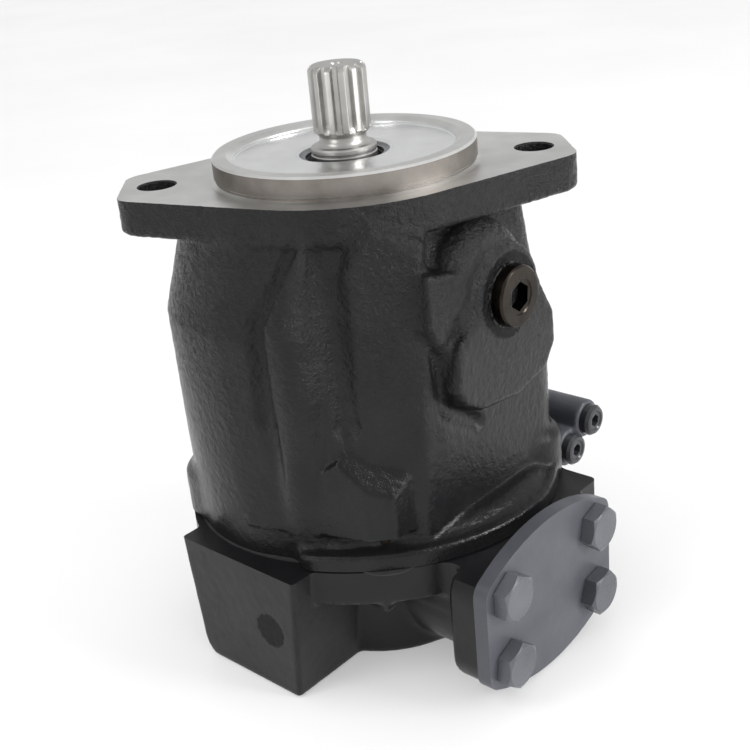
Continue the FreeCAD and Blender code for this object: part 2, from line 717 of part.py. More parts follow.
block = in_port_frame(cut(block_body(), block_holes()))
rear_pocket_low = REAR_CONE_TOP - REAR_BEARING_T - SHIM_T
rear_pocket = cyl(REAR_CUP_R, rear_pocket_low, JOINT_Z + 1)
shaft_end_room = cyl(SHAFT_R, rear_pocket_low - SHAFT_END_ROOM, JOINT_Z)
block = cut(block, [rear_pocket, shaft_end_room])
for x, y in foot_places():
    counterbore = cyl(SCREW_HEAD_R + 0.5, BLOCK_LOW - 1, PLATE_LOW + SCREW_SINK, x, y)
    block = cut(block, [counterbore, cyl(SCREW_R, PLATE_LOW, JOINT_Z + 1, x, y)])
port_groove = rod(PORT_RING_R + PORT_GROOVE_HALF, PORT_FACE - PORT_RING_DEPTH, PORT_FACE + 1, 0, PORT_Z)
port_core = rod(PORT_RING_R - PORT_GROOVE_HALF, PORT_FACE - PORT_FLANGE_T, PORT_FACE + 2, 0, PORT_Z)
port_groove = port_groove.cut(port_core)
block = cut(block, [in_port_frame(port_groove)] + valve_threads)
dowel_hole = in_port_frame(cyl(DOWEL_R, JOINT_Z - DOWEL_DEPTH, JOINT_Z + 4, 0, DOWEL_W))
block = block.cut(dowel_hole)
keep("port_block", block)

# ---------------------------------------------------------------- block fittings

screws = []
screw_grip = SCREW_TOP - SCREW_GAP - (PLATE_LOW + SCREW_SINK)
for x, y in foot_places():
    screw = socket_screw(SCREW_HEAD_R, SCREW_HEAD_H, SCREW_R, screw_grip, SCREW_HEX)
    screw.rotate(ORIGIN, X_AXIS, 180)
    screw.translate(Vec(x, y, PLATE_LOW + SCREW_SINK))
    screws.append(screw)
keep("block_screws", Part.makeCompound(screws))

cover = cover_outline(0, PORT_FACE, COVER_T)
cover_bolts = []
for w in (-1, 1):
    for z in (-1, 1):
        y, high = w * SUCTION_BOLT_W, PORT_Z + z * SUCTION_BOLT_Z
        cover = cover.cut(rod(PORT_BOLT_R + 0.4, PORT_FACE - 1, PORT_FACE + COVER_T + 1, y, high))
        shank = rod(PORT_BOLT_R, PORT_FACE - COVER_BOLT_L + 1, PORT_FACE + COVER_T, y, high)
        head = chamfered_hexagon(BOLT_HEX, PORT_FACE + COVER_T, BOLT_HEAD_H, y, high)
        cover_bolts.append(in_port_frame(fuse([head, shank])))
keep("suction_cover", in_port_frame(cover))
keep("suction_cover_bolts", Part.makeCompound(cover_bolts))
cover_seal = rod(PORT_RING_R + PORT_RING_HALF_T, PORT_FACE - PORT_RING_DEPTH, PORT_FACE, 0, PORT_Z)
seal_core = rod(PORT_RING_R - PORT_RING_HALF_T, PORT_FACE - PORT_FLANGE_T, PORT_FACE + 1, 0, PORT_Z)
cover_seal = cover_seal.cut(seal_core)
keep("suction_cover_seal", in_port_frame(cover_seal))

block_plug_top = LEFT_W + BLOCK_PLUG_SINK
block_plug = rod_w(BLOCK_PLUG_R, block_plug_top, block_plug_top + BLOCK_PLUG_L, BLOCK_PLUG_U, BLOCK_PLUG_Z)
block_plug_socket = hexagon(BLOCK_PLUG_HEX, 0, BLOCK_PLUG_HEX_DEPTH)
block_plug_socket.rotate(ORIGIN, Z_AXIS, 90)
block_plug_socket.translate(Vec(BLOCK_PLUG_U, block_plug_top, BLOCK_PLUG_Z))
keep("block_screw_plug", in_port_frame(block_plug.cut(block_plug_socket)))

# ---------------------------------------------------------------- case drain plug

drain_seat = DRAIN_FACE - DRAIN_SPOT_DEPTH
drain_head = drain_seat + DRAIN_SEAL_T
drain_top = drain_head + DRAIN_HEAD_H
drain_plug = fuse([
    rod(DRAIN_HEAD_R, drain_head, drain_top, DRAIN_W, DRAIN_Z),
    rod(DRAIN_THREAD_R, drain_seat - DRAIN_THREAD_END, drain_seat + DRAIN_SEAL_T, DRAIN_W, DRAIN_Z),
])
drain_rim = [e for e in drain_plug.Edges if abs(e.BoundBox.XMin - drain_top) < NEAR]
drain_plug = drain_plug.makeChamfer(DRAIN_CHAMFER, drain_rim)
drain_socket = hexagon(DRAIN_HEX, drain_top - DRAIN_HEX_DEPTH, DRAIN_HEX_DEPTH + 1, DRAIN_W, DRAIN_Z)
drain_plug = drain_plug.cut(drain_socket)
keep("drain_plug", in_port_frame(drain_plug))
washer = rod(DRAIN_HEAD_R + DRAIN_CHAMFER, drain_seat, drain_head, DRAIN_W, DRAIN_Z)
washer = washer.cut(rod(DRAIN_THREAD_R, drain_seat - 1, drain_head + 1, DRAIN_W, DRAIN_Z))
keep("drain_plug_seal", in_port_frame(washer))

# ---------------------------------------------------------------- bearings and shaft seal

def flipped(shape):
    """Turn a bearing part over, so that its rollers' large ends face up."""
    turned = shape.copy()
    turned.rotate(ORIGIN, X_AXIS, 180)
    return turned


front = tapered_bearing(FRONT_SEAT_R, FRONT_CUP_R, FRONT_BEARING_T, FRONT_ROLLERS)
front_low = FRONT_CUP_TOP - FRONT_BEARING_T
rear = tapered_bearing(REAR_SEAT_R, REAR_CUP_R, REAR_BEARING_T, REAR_ROLLERS)
bearings = {"front": (front, front_low), "rear": ([flipped(shape) for shape in rear], REAR_CONE_TOP)}
for place, (parts, height) in bearings.items():
    for piece, shape in zip(("cup", "cone", "rollers", "cage"), parts):
        placed = shape.copy()
        placed.translate(Vec(0, 0, height))
        keep(place + "_bearing_" + piece, placed)
keep("rear_bearing_shim", ring(REAR_CUP_R, REAR_CUP_R - 5, rear_pocket_low, rear_pocket_low + SHIM_T))

lip_r = COLLAR_R + RACE_CLEAR
seal = revolve([
    (SEAL_R, SEAL_LOW),
    (SEAL_R, SEAL_TOP),
    (COLLAR_R + SEAL_WALL, SEAL_TOP),
    (COLLAR_R + SEAL_WALL, SEAL_TOP - SEAL_WALL),
    (SEAL_R - SEAL_WALL, SEAL_TOP - SEAL_WALL),
    (SEAL_R - SEAL_WALL, SEAL_LOW + SEAL_WALL),
    (lip_r + SEAL_LIP, SEAL_LOW + SEAL_WALL),
    (lip_r, SEAL_LOW + SEAL_LIP),
    (lip_r + SEAL_LIP, SEAL_LOW),
])
keep("shaft_seal", seal)
clip = ring(CLIP_GROOVE_R - CLIP_CLEAR, SEAL_R - CLIP_REACH, SEAL_TOP + CLIP_CLEAR, CLIP_TOP - CLIP_CLEAR)
clip = clip.cut(box((-CLIP_GAP_HALF, CLIP_GAP_HALF), (0, 2 * CLIP_GROOVE_R), (0, PILOT_TOP)))
keep("seal_circlip", clip)

# ---------------------------------------------------------------- shaft

shaft_profile = [
    (0, SHAFT_LOW),
    (REAR_SEAT_R - 1, SHAFT_LOW),
    (REAR_SEAT_R, SHAFT_LOW + 1),
    (REAR_SEAT_R, REAR_CONE_TOP),
    (REAR_SHAFT_R, REAR_CONE_TOP),
    (REAR_SHAFT_R, DRIVE_Z[0]),
    (SHAFT_R, DRIVE_Z[0]),
    (SHAFT_R, front_low - SHAFT_SHOULDER_L),
    (SHAFT_SHOULDER_R, front_low - SHAFT_SHOULDER_L),
    (SHAFT_SHOULDER_R, front_low),
    (FRONT_SEAT_R, front_low),
    (FRONT_SEAT_R, FRONT_CUP_TOP),
    (COLLAR_R, FRONT_CUP_TOP),
    (COLLAR_R, COLLAR_TOP - COLLAR_CHAMFER),
    (COLLAR_R - COLLAR_CHAMFER, COLLAR_TOP),
    (NECK_R, COLLAR_TOP),
    (NECK_R, SHAFT_TOP - 1),
    (0, SHAFT_TOP - 1),
]
teeth = spline(
    SPLINE_TEETH, SPLINE_TIP_R, SPLINE_ROOT_R, SPLINE_TIP_HALF, SPLINE_ROOT_HALF, SPLINE_LOW, SHAFT_TOP
)
envelope = revolve([
    (0, SPLINE_LOW), (SPLINE_ROOT_R - 0.4, SPLINE_LOW), (SPLINE_TIP_R + 0.2, SPLINE_LOW + SPLINE_RUNOUT),
    (SPLINE_TIP_R + 0.2, SHAFT_TOP - 1.6), (SPLINE_TIP_R - 1.4, SHAFT_TOP), (0, SHAFT_TOP),
])
drive_teeth = spline(
    DRIVE_TEETH, DRIVE_TIP_R, DRIVE_ROOT_R, DRIVE_TIP_HALF, DRIVE_ROOT_HALF, DRIVE_Z[0], DRIVE_Z[1]
)
keep("drive_shaft", fuse([revolve(shaft_profile), teeth.common(envelope), drive_teeth]))

# ---------------------------------------------------------------- swash plate and its cradle bearings

plate_back = rod(SWASH_R, -SWASH_HALF_U, SWASH_HALF_U, 0, TILT_Z)
plate_back = plate_back.common(box((-SWASH_R, SWASH_R), (-SWASH_R, SWASH_R), (SWASH_FACE, 0)))
rail_low = SWASH_FACE + SWASH_DISC_T + SWASH_RAIL_STEP
between_rails = box((-CRADLE_INNER_U + 1, CRADLE_INNER_U - 1), (-SWASH_R, SWASH_R), (rail_low, 0))
plate_back = plate_back.cut(between_rails)
plate_disc = cyl(SWASH_DISC_R, SWASH_FACE, SWASH_FACE + SWASH_DISC_T)
plate_arm = box((-ARM_HALF_U, ARM_HALF_U), (-ARM_OUT_W, ARM_OUT_W), (SWASH_FACE, ARM_TOP))
swash = fuse([plate_back, plate_disc, plate_arm]).cut(cyl(SWASH_HOLE_R, SWASH_FACE - 1, 0))
keep("swash_plate", in_port_frame(swash))

shell = rod(SWASH_R + CRADLE_T, 0, SWASH_HALF_U - CRADLE_INNER_U, 0, TILT_Z)
shell = shell.cut(rod(SWASH_R + 0.05, -1, SWASH_HALF_U, 0, TILT_Z))
reach = 2 * SWASH_R
lean = math.radians(CRADLE_ANGLE)
pivot = Vec(0, 0, TILT_Z)
wedge_w = reach * math.sin(lean)
wedge_z = TILT_Z + reach * math.cos(lean)
wedge = Part.makePolygon([pivot, Vec(0, wedge_w, wedge_z), Vec(0, -wedge_w, wedge_z), pivot])
shell = shell.common(Part.Face(wedge).extrude(Vec(SWASH_HALF_U, 0, 0)))
shells = []
for start in (CRADLE_INNER_U, -SWASH_HALF_U):
    placed = shell.copy()
    placed.translate(Vec(start, 0, 0))
    shells.append(in_port_frame(placed))
keep("cradle_bearings", Part.makeCompound(shells))

# ---------------------------------------------------------------- rotating group

def at_pitch(shape):
    moved = shape.copy()
    moved.translate(Vec(PISTON_PITCH_R, 0, 0))
    return moved


ball = Part.makeSphere(BALL_R, Vec(0, 0, TILT_Z))
piston_body = revolve([
    (0, TILT_Z),
    (PISTON_NECK_R, TILT_Z),
    (PISTON_NECK_R, TILT_Z - PISTON_NECK_L),
    (PISTON_R, TILT_Z - PISTON_NECK_L - PISTON_TAPER),
    (PISTON_R, PISTON_LOW),
    (0, PISTON_LOW),
])
piston_hollow = cyl(PISTON_HOLLOW_R, PISTON_LOW - 1, PISTON_LOW + PISTON_HOLLOW_L)
oil_passage = cyl(OIL_PASSAGE_R, PISTON_LOW, TILT_Z + BALL_R)
piston = fuse([ball, piston_body]).cut(fuse([piston_hollow, oil_passage]))
keep("pistons", Part.makeCompound(around(at_pitch(piston), PISTONS)))

shoe_top = SWASH_FACE - FILM
shoe = revolve([
    (SHOE_PASSAGE_R, shoe_top - SHOE_POCKET),
    (SHOE_POCKET_R, shoe_top - SHOE_POCKET),
    (SHOE_POCKET_R, shoe_top),
    (SHOE_R, shoe_top),
    (SHOE_R, shoe_top - SHOE_FOOT_T),
    (SHOE_CUP_R, shoe_top - SHOE_FOOT_T),
    (SHOE_CUP_R - 0.4, SHOE_CUP_LOW),
    (SHOE_PASSAGE_R, SHOE_CUP_LOW),
]).cut(Part.makeSphere(BALL_R + 0.03, Vec(0, 0, TILT_Z)))
keep("slippers", Part.makeCompound(around(at_pitch(shoe), PISTONS)))

retainer = ring(RETAINER_R, RETAINER_IN_R, RETAINER_TOP - RETAINER_T, RETAINER_TOP)
retainer = retainer.cut(Part.makeSphere(GUIDE_R + GUIDE_CLEAR, Vec(0, 0, TILT_Z)))
shoe_hole = cyl(RETAINER_HOLE_R, RETAINER_TOP - RETAINER_T - 1, RETAINER_TOP + 1)
keep("retainer_plate", cut(retainer, around(at_pitch(shoe_hole), PISTONS)))

guide_low = TILT_Z - GUIDE_DROP
guide_zone = cyl(2 * GUIDE_R, TILT_Z - GUIDE_ZONE[0], TILT_Z + GUIDE_ZONE[1])
guide = Part.makeSphere(GUIDE_R, Vec(0, 0, TILT_Z)).common(guide_zone)
guide_foot = cyl(GUIDE_FOOT_R, guide_low, TILT_Z - GUIDE_ZONE[0] + 0.5)
guide_bore = cyl(SHAFT_R + GUIDE_CLEAR, guide_low - 1, TILT_Z + GUIDE_ZONE[1] + 1)
keep("retaining_ball", fuse([guide, guide_foot]).cut(guide_bore))

barrel = cyl(BARREL_R, BARREL_LOW, BARREL_TOP)
barrel = cut(barrel, around(at_pitch(cyl(PISTON_R + PISTON_CLEAR, BORE_LOW, BARREL_TOP + 1)), PISTONS))
barrel = cut(barrel, around(at_pitch(cyl(KIDNEY_HALF - 0.4, BARREL_LOW - 1, BORE_LOW + 1)), PISTONS))
drive_room = spline(
    DRIVE_TEETH,
    DRIVE_TIP_R + DRIVE_CLEAR,
    DRIVE_ROOT_R + DRIVE_CLEAR,
    DRIVE_TIP_HALF + DRIVE_CLEAR_ANGLE,
    DRIVE_ROOT_HALF + DRIVE_CLEAR_ANGLE,
    BARREL_LOW - 1,
    BARREL_TOP + 1,
)
spring_room = cyl(SPRING_ROOM_R, BARREL_LOW - 1, SPRING_ROOM_TOP)
pin_hole = cyl(PIN_R + GUIDE_CLEAR, SPRING_ROOM_TOP - 1, BARREL_TOP + 1, PIN_PITCH_R, 0)
barrel_clip_z = BARREL_LOW + BARREL_CLIP_UP
clip_room = cyl(SPRING_ROOM_R + 1.0, barrel_clip_z, barrel_clip_z + BARREL_CLIP_T)
keep("cylinder_barrel", cut(barrel, [drive_room, spring_room, clip_room] + around(pin_hole, 3)))
washer_low = barrel_clip_z + BARREL_CLIP_T
washer_high = SPRING_ROOM_TOP - WASHER_T
keep("barrel_spring_washers", Part.makeCompound([
    ring(SPRING_ROOM_R - 0.1, REAR_SHAFT_R + 0.3, low, low + WASHER_T) for low in (washer_low, washer_high)
]))
spring_low = washer_low + WASHER_T + TOUCH
spring_high = washer_high - TOUCH
keep("barrel_spring", spring(BARREL_SPRING_R, SPRING_WIRE_R, spring_low, spring_high, BARREL_SPRING_TURNS))
clip_low = barrel_clip_z + CLIP_CLEAR
clip_high = barrel_clip_z + BARREL_CLIP_T - CLIP_CLEAR
barrel_clip = ring(SPRING_ROOM_R + 1.0 - CLIP_CLEAR, SPRING_ROOM_R - CLIP_REACH, clip_low, clip_high)
clip_gap = box((0, BARREL_R), (-CLIP_GAP_HALF, CLIP_GAP_HALF), (BARREL_LOW, BARREL_TOP))
keep("barrel_circlip", barrel_clip.cut(clip_gap))
keep("retainer_pins", Part.makeCompound(around(cyl(PIN_R, SPRING_ROOM_TOP, guide_low, PIN_PITCH_R, 0), 3)))

valve_plate = ring(VALVE_PLATE_R, VALVE_PLATE_IN_R, JOINT_Z, BARREL_LOW - FILM)
valve_plate = cut(valve_plate, [kidney(side, KIDNEY_HALF, JOINT_Z - 1, BARREL_LOW + 1) for side in (-1, 1)])
keep("valve_plate", in_port_frame(valve_plate).cut(dowel_hole))
keep("valve_plate_dowel", in_port_frame(cyl(DOWEL_R, JOINT_Z - DOWEL_DEPTH, JOINT_Z + 2.4, 0, DOWEL_W)))

# ---------------------------------------------------------------- stroking pistons

sleeve = ring(SLEEVE_R, CONTROL_PISTON_R + TOUCH, JOINT_Z, SLEEVE_TOP, 0, -STROKE_W)
keep("control_piston_sleeve", in_port_frame(sleeve))
control_low = SLEEVE_TOP - CONTROL_PISTON_GRIP
control_high = SWASH_FACE - CONTROL_TIP_L
control_end = Vec(0, -STROKE_W, control_high)
control_tip = Part.makeCone(CONTROL_PISTON_R, STROKE_TIP_R, CONTROL_TIP_L - FILM, control_end)
control = fuse([cyl(CONTROL_PISTON_R, control_low, control_high, 0, -STROKE_W), control_tip])
control_hollow = cyl(CONTROL_HOLLOW_R, control_low - 1, control_low + CONTROL_HOLLOW_L, 0, -STROKE_W)
keep("control_piston", in_port_frame(control.cut(control_hollow)))
bias_low = SWASH_FACE - BIAS_PISTON_L
bias_high = SWASH_FACE - BIAS_TIP_L
bias_tip = Part.makeCone(BIAS_PISTON_R, STROKE_TIP_R, BIAS_TIP_L - FILM, Vec(0, STROKE_W, bias_high))
keep("bias_piston", in_port_frame(fuse([cyl(BIAS_PISTON_R, bias_low, bias_high, 0, STROKE_W), bias_tip])))
seat_top = JOINT_Z + BIAS_SEAT_T
bias_span = (seat_top + TOUCH, bias_low - TOUCH)
bias_coil = spring(BIAS_SPRING_R, SPRING_WIRE_R, *bias_span, BIAS_TURNS, 0, STROKE_W)
keep("bias_spring", in_port_frame(bias_coil))
seat_disc = cyl(BIAS_SEAT_R, JOINT_Z, seat_top, 0, STROKE_W)
seat_spigot = cyl(BIAS_SPIGOT_R, JOINT_Z, seat_top + BIAS_SPIGOT_L, 0, STROKE_W)
keep("bias_spring_seat", in_port_frame(fuse([seat_disc, seat_spigot])))

# ---------------------------------------------------------------- control valve

def valve_body():
    pad = box(VALVE_PAD_U, (VALVE_PAD_W, VALVE_BODY_W), (VALVE_LOW, VALVE_TOP))
    barrels = [rod(VALVE_BARREL_R, CHAMBER_U[0], VALVE_END_U[name], w, z) for name, (w, z) in VALVE_BORES.items()]
    body = fuse([pad] + barrels)
    for name, (w, z) in VALVE_BORES.items():
        body = cut(body, [
            rod(SPOOL_R + SPOOL_CLEAR, CHAMBER_U[1] - 1, VALVE_END_U[name] + 1, w, z),
            rod(CHAMBER_R, CHAMBER_U[0] - 1, CHAMBER_U[1], w, z),
            rod(VALVE_PLUG_SHANK_R, SPOOL_U[1] + 1, VALVE_END_U[name] + 1, w, z),
        ])
    through = (VALVE_PAD_W - 1, VALVE_BODY_W + 6)
    body = cut(body, [rod_w(VALVE_SCREW_R, *through, u, z) for u, z in VALVE_SCREWS])
    return cut(body, [face_seal(u, 0.0) for u in VALVE_PASSAGES])


def face_seal(u, gap):
    """Seal ring in the valve's mounting face, round one of its oil passages."""
    outer = rod_w(VALVE_SEAL_R - gap, VALVE_PAD_W, VALVE_PAD_W + VALVE_SEAL_T, u, VALVE_PASSAGE_Z)
    return outer.cut(rod_w(VALVE_SEAL_R - 1.8 + gap, VALVE_PAD_W - 1, VALVE_PAD_W + 3, u, VALVE_PASSAGE_Z))


def end_plug(name, w, z):
    """Screwed plug at the closed end of a spool bore."""
    end = VALVE_END_U[name]
    top = end + VALVE_PLUG_HEAD
    plug = fuse([rod(VALVE_PLUG_R, end, top, w, z), rod(VALVE_PLUG_SHANK_R, VALVE_PLUG_SHANK_U, end, w, z)])
    return plug.cut(hexagon(VALVE_PLUG_HEX, top - VALVE_PLUG_HEX_DEPTH, VALVE_PLUG_HEX_DEPTH + 1, w, z))


def valve_spool(w, z):
    grooves = []
    for u in SPOOL_GROOVES:
        groove = rod(SPOOL_R + 1, u, u + SPOOL_GROOVE_L, w, z)
        grooves.append(groove.cut(rod(SPOOL_WAIST_R, u - 1, u + SPOOL_GROOVE_L + 1, w, z)))
    return cut(rod(SPOOL_R, SPOOL_U[0], SPOOL_U[1], w, z), grooves)


def spring_seat(w, z):
    """Disc on the spool's end that the spring pushes on."""
    stem = rod(SEAT_STEM_R, SPOOL_U[0] - SEAT_STEM_L, SPOOL_U[0], w, z)
    far = SPOOL_U[0] - SEAT_STEM_L - SEAT_T
    return fuse([rod(CHAMBER_R - 0.4, far, SPOOL_U[0] - SEAT_STEM_L, w, z), stem])


def valve_spring(w, z):
    low = CHAMBER_U[0] + ADJUSTER_DISC[1] + TOUCH
    high = SPOOL_U[0] - SEAT_STEM_L - SEAT_T - TOUCH
    return lying(spring(VALVE_SPRING_R, VALVE_SPRING_WIRE_R, low, high, VALVE_SPRING_TURNS), w, z)


def adjuster_cap(name, w, z):
    """Hexagon cap that closes a spring chamber and carries its adjusting screw."""
    head = hexagon(CAP_FLATS[name], CHAMBER_U[0], -CAP_HEAD, w, z)
    cap = fuse([head, rod(CHAMBER_R, CHAMBER_U[0], CHAMBER_U[0] + 3, w, z)])
    return cap.cut(rod(ADJUSTER_R + TOUCH, CHAMBER_U[0] - CAP_HEAD - 1, CHAMBER_U[0] + 4, w, z))


def lock_nut(w, z):
    start = CHAMBER_U[0] - CAP_HEAD
    nut = hexagon(NUT_FLATS, start, -NUT_T, w, z)
    return nut.cut(rod(ADJUSTER_R + TOUCH, start - NUT_T - 1, start + 1, w, z))


def adjusting_screw(w, z):
    tip = CHAMBER_U[0] - ADJUSTER_L
    stem = rod(ADJUSTER_R, tip, CHAMBER_U[0] + ADJUSTER_DISC[0], w, z)
    disc = rod(ADJUSTER_DISC_R, CHAMBER_U[0] + ADJUSTER_DISC[0], CHAMBER_U[0] + ADJUSTER_DISC[1], w, z)
    return fuse([stem, disc]).cut(hexagon(ADJUSTER_HEX, tip - 1, 4.0, w, z))


keep("control_valve_body", in_port_frame(valve_body()))
keep("valve_face_seals", Part.makeCompound([in_port_frame(face_seal(u, 0.05)) for u in VALVE_PASSAGES]))

valve_screws = []
for u, z in VALVE_SCREWS:
    grip = VALVE_BODY_W - VALVE_PAD_W + VALVE_SCREW_GRIP
    screw = socket_screw(VALVE_SCREW_HEAD_R, VALVE_SCREW_HEAD_H, VALVE_SCREW_R, grip, VALVE_SCREW_HEX)
    screw.rotate(ORIGIN, X_AXIS, -90)
    screw.translate(Vec(u, VALVE_BODY_W, z))
    valve_screws.append(in_port_frame(screw))
keep("valve_screws", Part.makeCompound(valve_screws))

for name, (w, z) in VALVE_BORES.items():
    keep(name + "_spool", in_port_frame(valve_spool(w, z)))
    keep(name + "_spring_seat", in_port_frame(spring_seat(w, z)))
    keep(name + "_spring", in_port_frame(valve_spring(w, z)))
    keep(name + "_adjusting_screw", in_port_frame(adjusting_screw(w, z)))
bores = VALVE_BORES.items()
keep("valve_end_plugs", Part.makeCompound([in_port_frame(end_plug(name, *at)) for name, at in bores]))
keep("adjuster_caps", Part.makeCompound([in_port_frame(adjuster_cap(name, *at)) for name, at in bores]))
keep("adjuster_lock_nuts", Part.makeCompound([in_port_frame(lock_nut(*at)) for name, at in bores]))

# ---------------------------------------------------------------- export

for name, shape in PARTS.items():
    shape.exportStep("parts/" + name + ".step")
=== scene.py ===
import json
import math

import bmesh
import bpy
import numpy as np
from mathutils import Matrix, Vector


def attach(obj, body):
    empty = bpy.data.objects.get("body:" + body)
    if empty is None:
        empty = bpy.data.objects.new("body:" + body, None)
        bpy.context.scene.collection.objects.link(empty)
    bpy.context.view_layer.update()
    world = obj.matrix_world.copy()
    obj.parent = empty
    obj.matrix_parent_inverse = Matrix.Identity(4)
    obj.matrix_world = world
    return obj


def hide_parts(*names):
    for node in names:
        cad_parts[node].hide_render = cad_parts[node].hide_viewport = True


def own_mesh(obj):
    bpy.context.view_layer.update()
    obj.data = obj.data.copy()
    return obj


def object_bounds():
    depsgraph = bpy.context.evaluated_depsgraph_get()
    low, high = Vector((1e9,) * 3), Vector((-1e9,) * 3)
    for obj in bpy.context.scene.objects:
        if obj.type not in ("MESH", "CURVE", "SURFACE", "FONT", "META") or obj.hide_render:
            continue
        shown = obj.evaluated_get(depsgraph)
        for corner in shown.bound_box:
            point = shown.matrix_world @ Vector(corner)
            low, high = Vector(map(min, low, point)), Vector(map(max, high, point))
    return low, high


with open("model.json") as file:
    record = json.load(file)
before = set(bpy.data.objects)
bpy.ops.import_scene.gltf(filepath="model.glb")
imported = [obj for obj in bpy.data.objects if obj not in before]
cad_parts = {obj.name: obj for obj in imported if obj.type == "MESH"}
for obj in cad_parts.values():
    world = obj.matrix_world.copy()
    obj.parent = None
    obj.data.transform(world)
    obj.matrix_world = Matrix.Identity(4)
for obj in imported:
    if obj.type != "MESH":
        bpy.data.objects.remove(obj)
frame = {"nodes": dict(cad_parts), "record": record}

import openvdb
from mathutils import Matrix, Vector, noise

CAD_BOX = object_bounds()

# Castings are built as distance fields in millimetres and meshed, then their machined faces are
# cut exactly. The port block's own axes u (suction side) and w (control valve side) lie at
# 45 degrees between X and Y, as in the CAD.

MM = 0.001
HALF = math.sqrt(0.5)
HOUSING = "housing_group"
ROTOR = "rotating_group"

JOINT = -140.0
GASKET_T = 0.5
PORT_Z = -161.0
BLOCK_LOW = -195.0
SUCTION_FACE = 83.0
PRESSURE_FACE = -78.0
COVER_T = 6.0
BOLT_W = 29.35
BOLT_Z = 15.1
PRESSURE_BOLT_W = 23.8
PRESSURE_BOLT_Z = 11.1
DRAIN_W = 13.5
DRAIN_Z = -46.0
DRAIN_FACE = 65.0
FLANGE_HOLE_X = 73.0
FLANGE_END = 86.7
SCREW_X, SCREW_Y = 66.0, 58.0
SCREW_PLACES = [(SCREW_X, 0.0), (0.0, SCREW_Y), (-SCREW_X, 0.0), (0.0, -SCREW_Y)]
BLOCK_PLUG_U, BLOCK_PLUG_Z, BLOCK_FRONT_W = 8.0, -167.0, -77.0
VALVE_FACE_W = 64.0
VALVE_BACK_W = 84.0
VALVE_BORES = {"pressure": (85.0, -131.0, 52.0), "flow": (73.0, -141.0, 50.0)}
VALVE_SPRING_SPAN = (-27.48, -16.02)
VALVE_SCREWS = [(-21.0, -116.0), (25.0, -116.0), (-21.0, -150.0), (25.0, -150.0)]


# ---------------------------------------------------------------- distance fields

class Grid:
    """Block of sample points in millimetres, with the port axes worked out on it."""

    def __init__(self, low, high, step):
        self.low, self.step = np.array(low, float), step
        axes = [np.arange(low[i], high[i] + step, step, dtype=np.float32) for i in range(3)]
        self.x = axes[0][:, None, None]
        self.y = axes[1][None, :, None]
        self.z = axes[2][None, None, :]
        self.u = (self.x - self.y) * np.float32(HALF)
        self.w = (self.x + self.y) * np.float32(HALF)

    def mesh(self, name, field):
        """Surface of the field's zero level, as a mesh object in metres."""
        grid = openvdb.FloatGrid(3.0 * self.step)
        shape = np.broadcast_shapes(self.x.shape, self.y.shape, self.z.shape)
        full = np.broadcast_to(field, shape)
        near = np.clip(full, -3.0 * self.step, 3.0 * self.step)
        grid.copyFromArray(np.ascontiguousarray(near, dtype=np.float32))
        points, triangles, quads = grid.convertToPolygons(0.0, 0.0)
        points = (points * self.step + self.low) * MM
        mesh = bpy.data.meshes.new(name)
        faces = [tuple(f) for f in quads.tolist()] + [tuple(f) for f in triangles.tolist()]
        mesh.from_pydata(points.tolist(), [], faces)
        mesh.update()
        return link(name, mesh)


def smooth_min(a, b, k):
    h = np.maximum(k - np.abs(a - b), 0.0) / k
    return np.minimum(a, b) - h * h * k * 0.25


def smooth_max(a, b, k):
    return -smooth_min(-a, -b, k)


def rounded(dx, dz, r):
    """Distance from two wall distances meeting at an edge of radius r."""
    a, b = dx + r, dz + r
    outside = np.sqrt(np.maximum(a, 0.0) ** 2 + np.maximum(b, 0.0) ** 2)
    return np.minimum(np.maximum(a, b), 0.0) + outside - r


def between(t, low, high):
    return np.maximum(low - t, t - high)


def disc(a, b, ca, cb, r):
    return np.sqrt((a - ca) ** 2 + (b - cb) ** 2) - r


def ellipse(x, y, a, b):
    k0 = np.sqrt((x / a) ** 2 + (y / b) ** 2)
    k1 = np.sqrt((x / (a * a)) ** 2 + (y / (b * b)) ** 2) + 1e-9
    return k0 * (k0 - 1.0) / k1


def polygon(a, b, points):
    """Signed distance in a plane to a closed outline of points."""
    nearest = None
    inside = np.zeros(np.broadcast_shapes(a.shape, b.shape), bool)
    for i, (px, py) in enumerate(points):
        qx, qy = points[i - 1]
        ex, ey = qx - px, qy - py
        t = np.clip(((a - px) * ex + (b - py) * ey) / (ex * ex + ey * ey), 0.0, 1.0)
        gap = (a - px - t * ex) ** 2 + (b - py - t * ey) ** 2
        nearest = gap if nearest is None else np.minimum(nearest, gap)
        crosses = (b >= min(py, qy)) & (b < max(py, qy))
        if py != qy:
            side = (a - px) < (b - py) * ex / ey
            inside ^= crosses & side
    return np.sqrt(nearest) * np.where(inside, -1.0, 1.0)


def box3(a, b, c, spans, r):
    """Rounded box over three coordinate spans."""
    d = [between(t, low + r, high - r) for t, (low, high) in zip((a, b, c), spans)]
    outside = np.sqrt(sum(np.maximum(t, 0.0) ** 2 for t in d))
    return np.minimum(np.maximum(np.maximum(d[0], d[1]), d[2]), 0.0) + outside - r


def capsule(g, start, end, r0, r1):
    """Round-ended tapering rod between two points."""
    run = [e - s for s, e in zip(start, end)]
    size = sum(t * t for t in run)
    x, y, z = g.x - start[0], g.y - start[1], g.z - start[2]
    t = np.clip((x * run[0] + y * run[1] + z * run[2]) / size, 0.0, 1.0)
    gap = (x - t * run[0]) ** 2 + (y - t * run[1]) ** 2 + (z - t * run[2]) ** 2
    return np.sqrt(gap) - (r0 + (r1 - r0) * t)


def ramp(z, points):
    """Value against height through (z, value) points, lowest first."""
    return np.interp(z, [p[0] for p in points], [p[1] for p in points]).astype(np.float32)


# ---------------------------------------------------------------- mesh helpers

def link(name, mesh):
    obj = bpy.data.objects.new(name, mesh)
    bpy.context.scene.collection.objects.link(obj)
    return obj


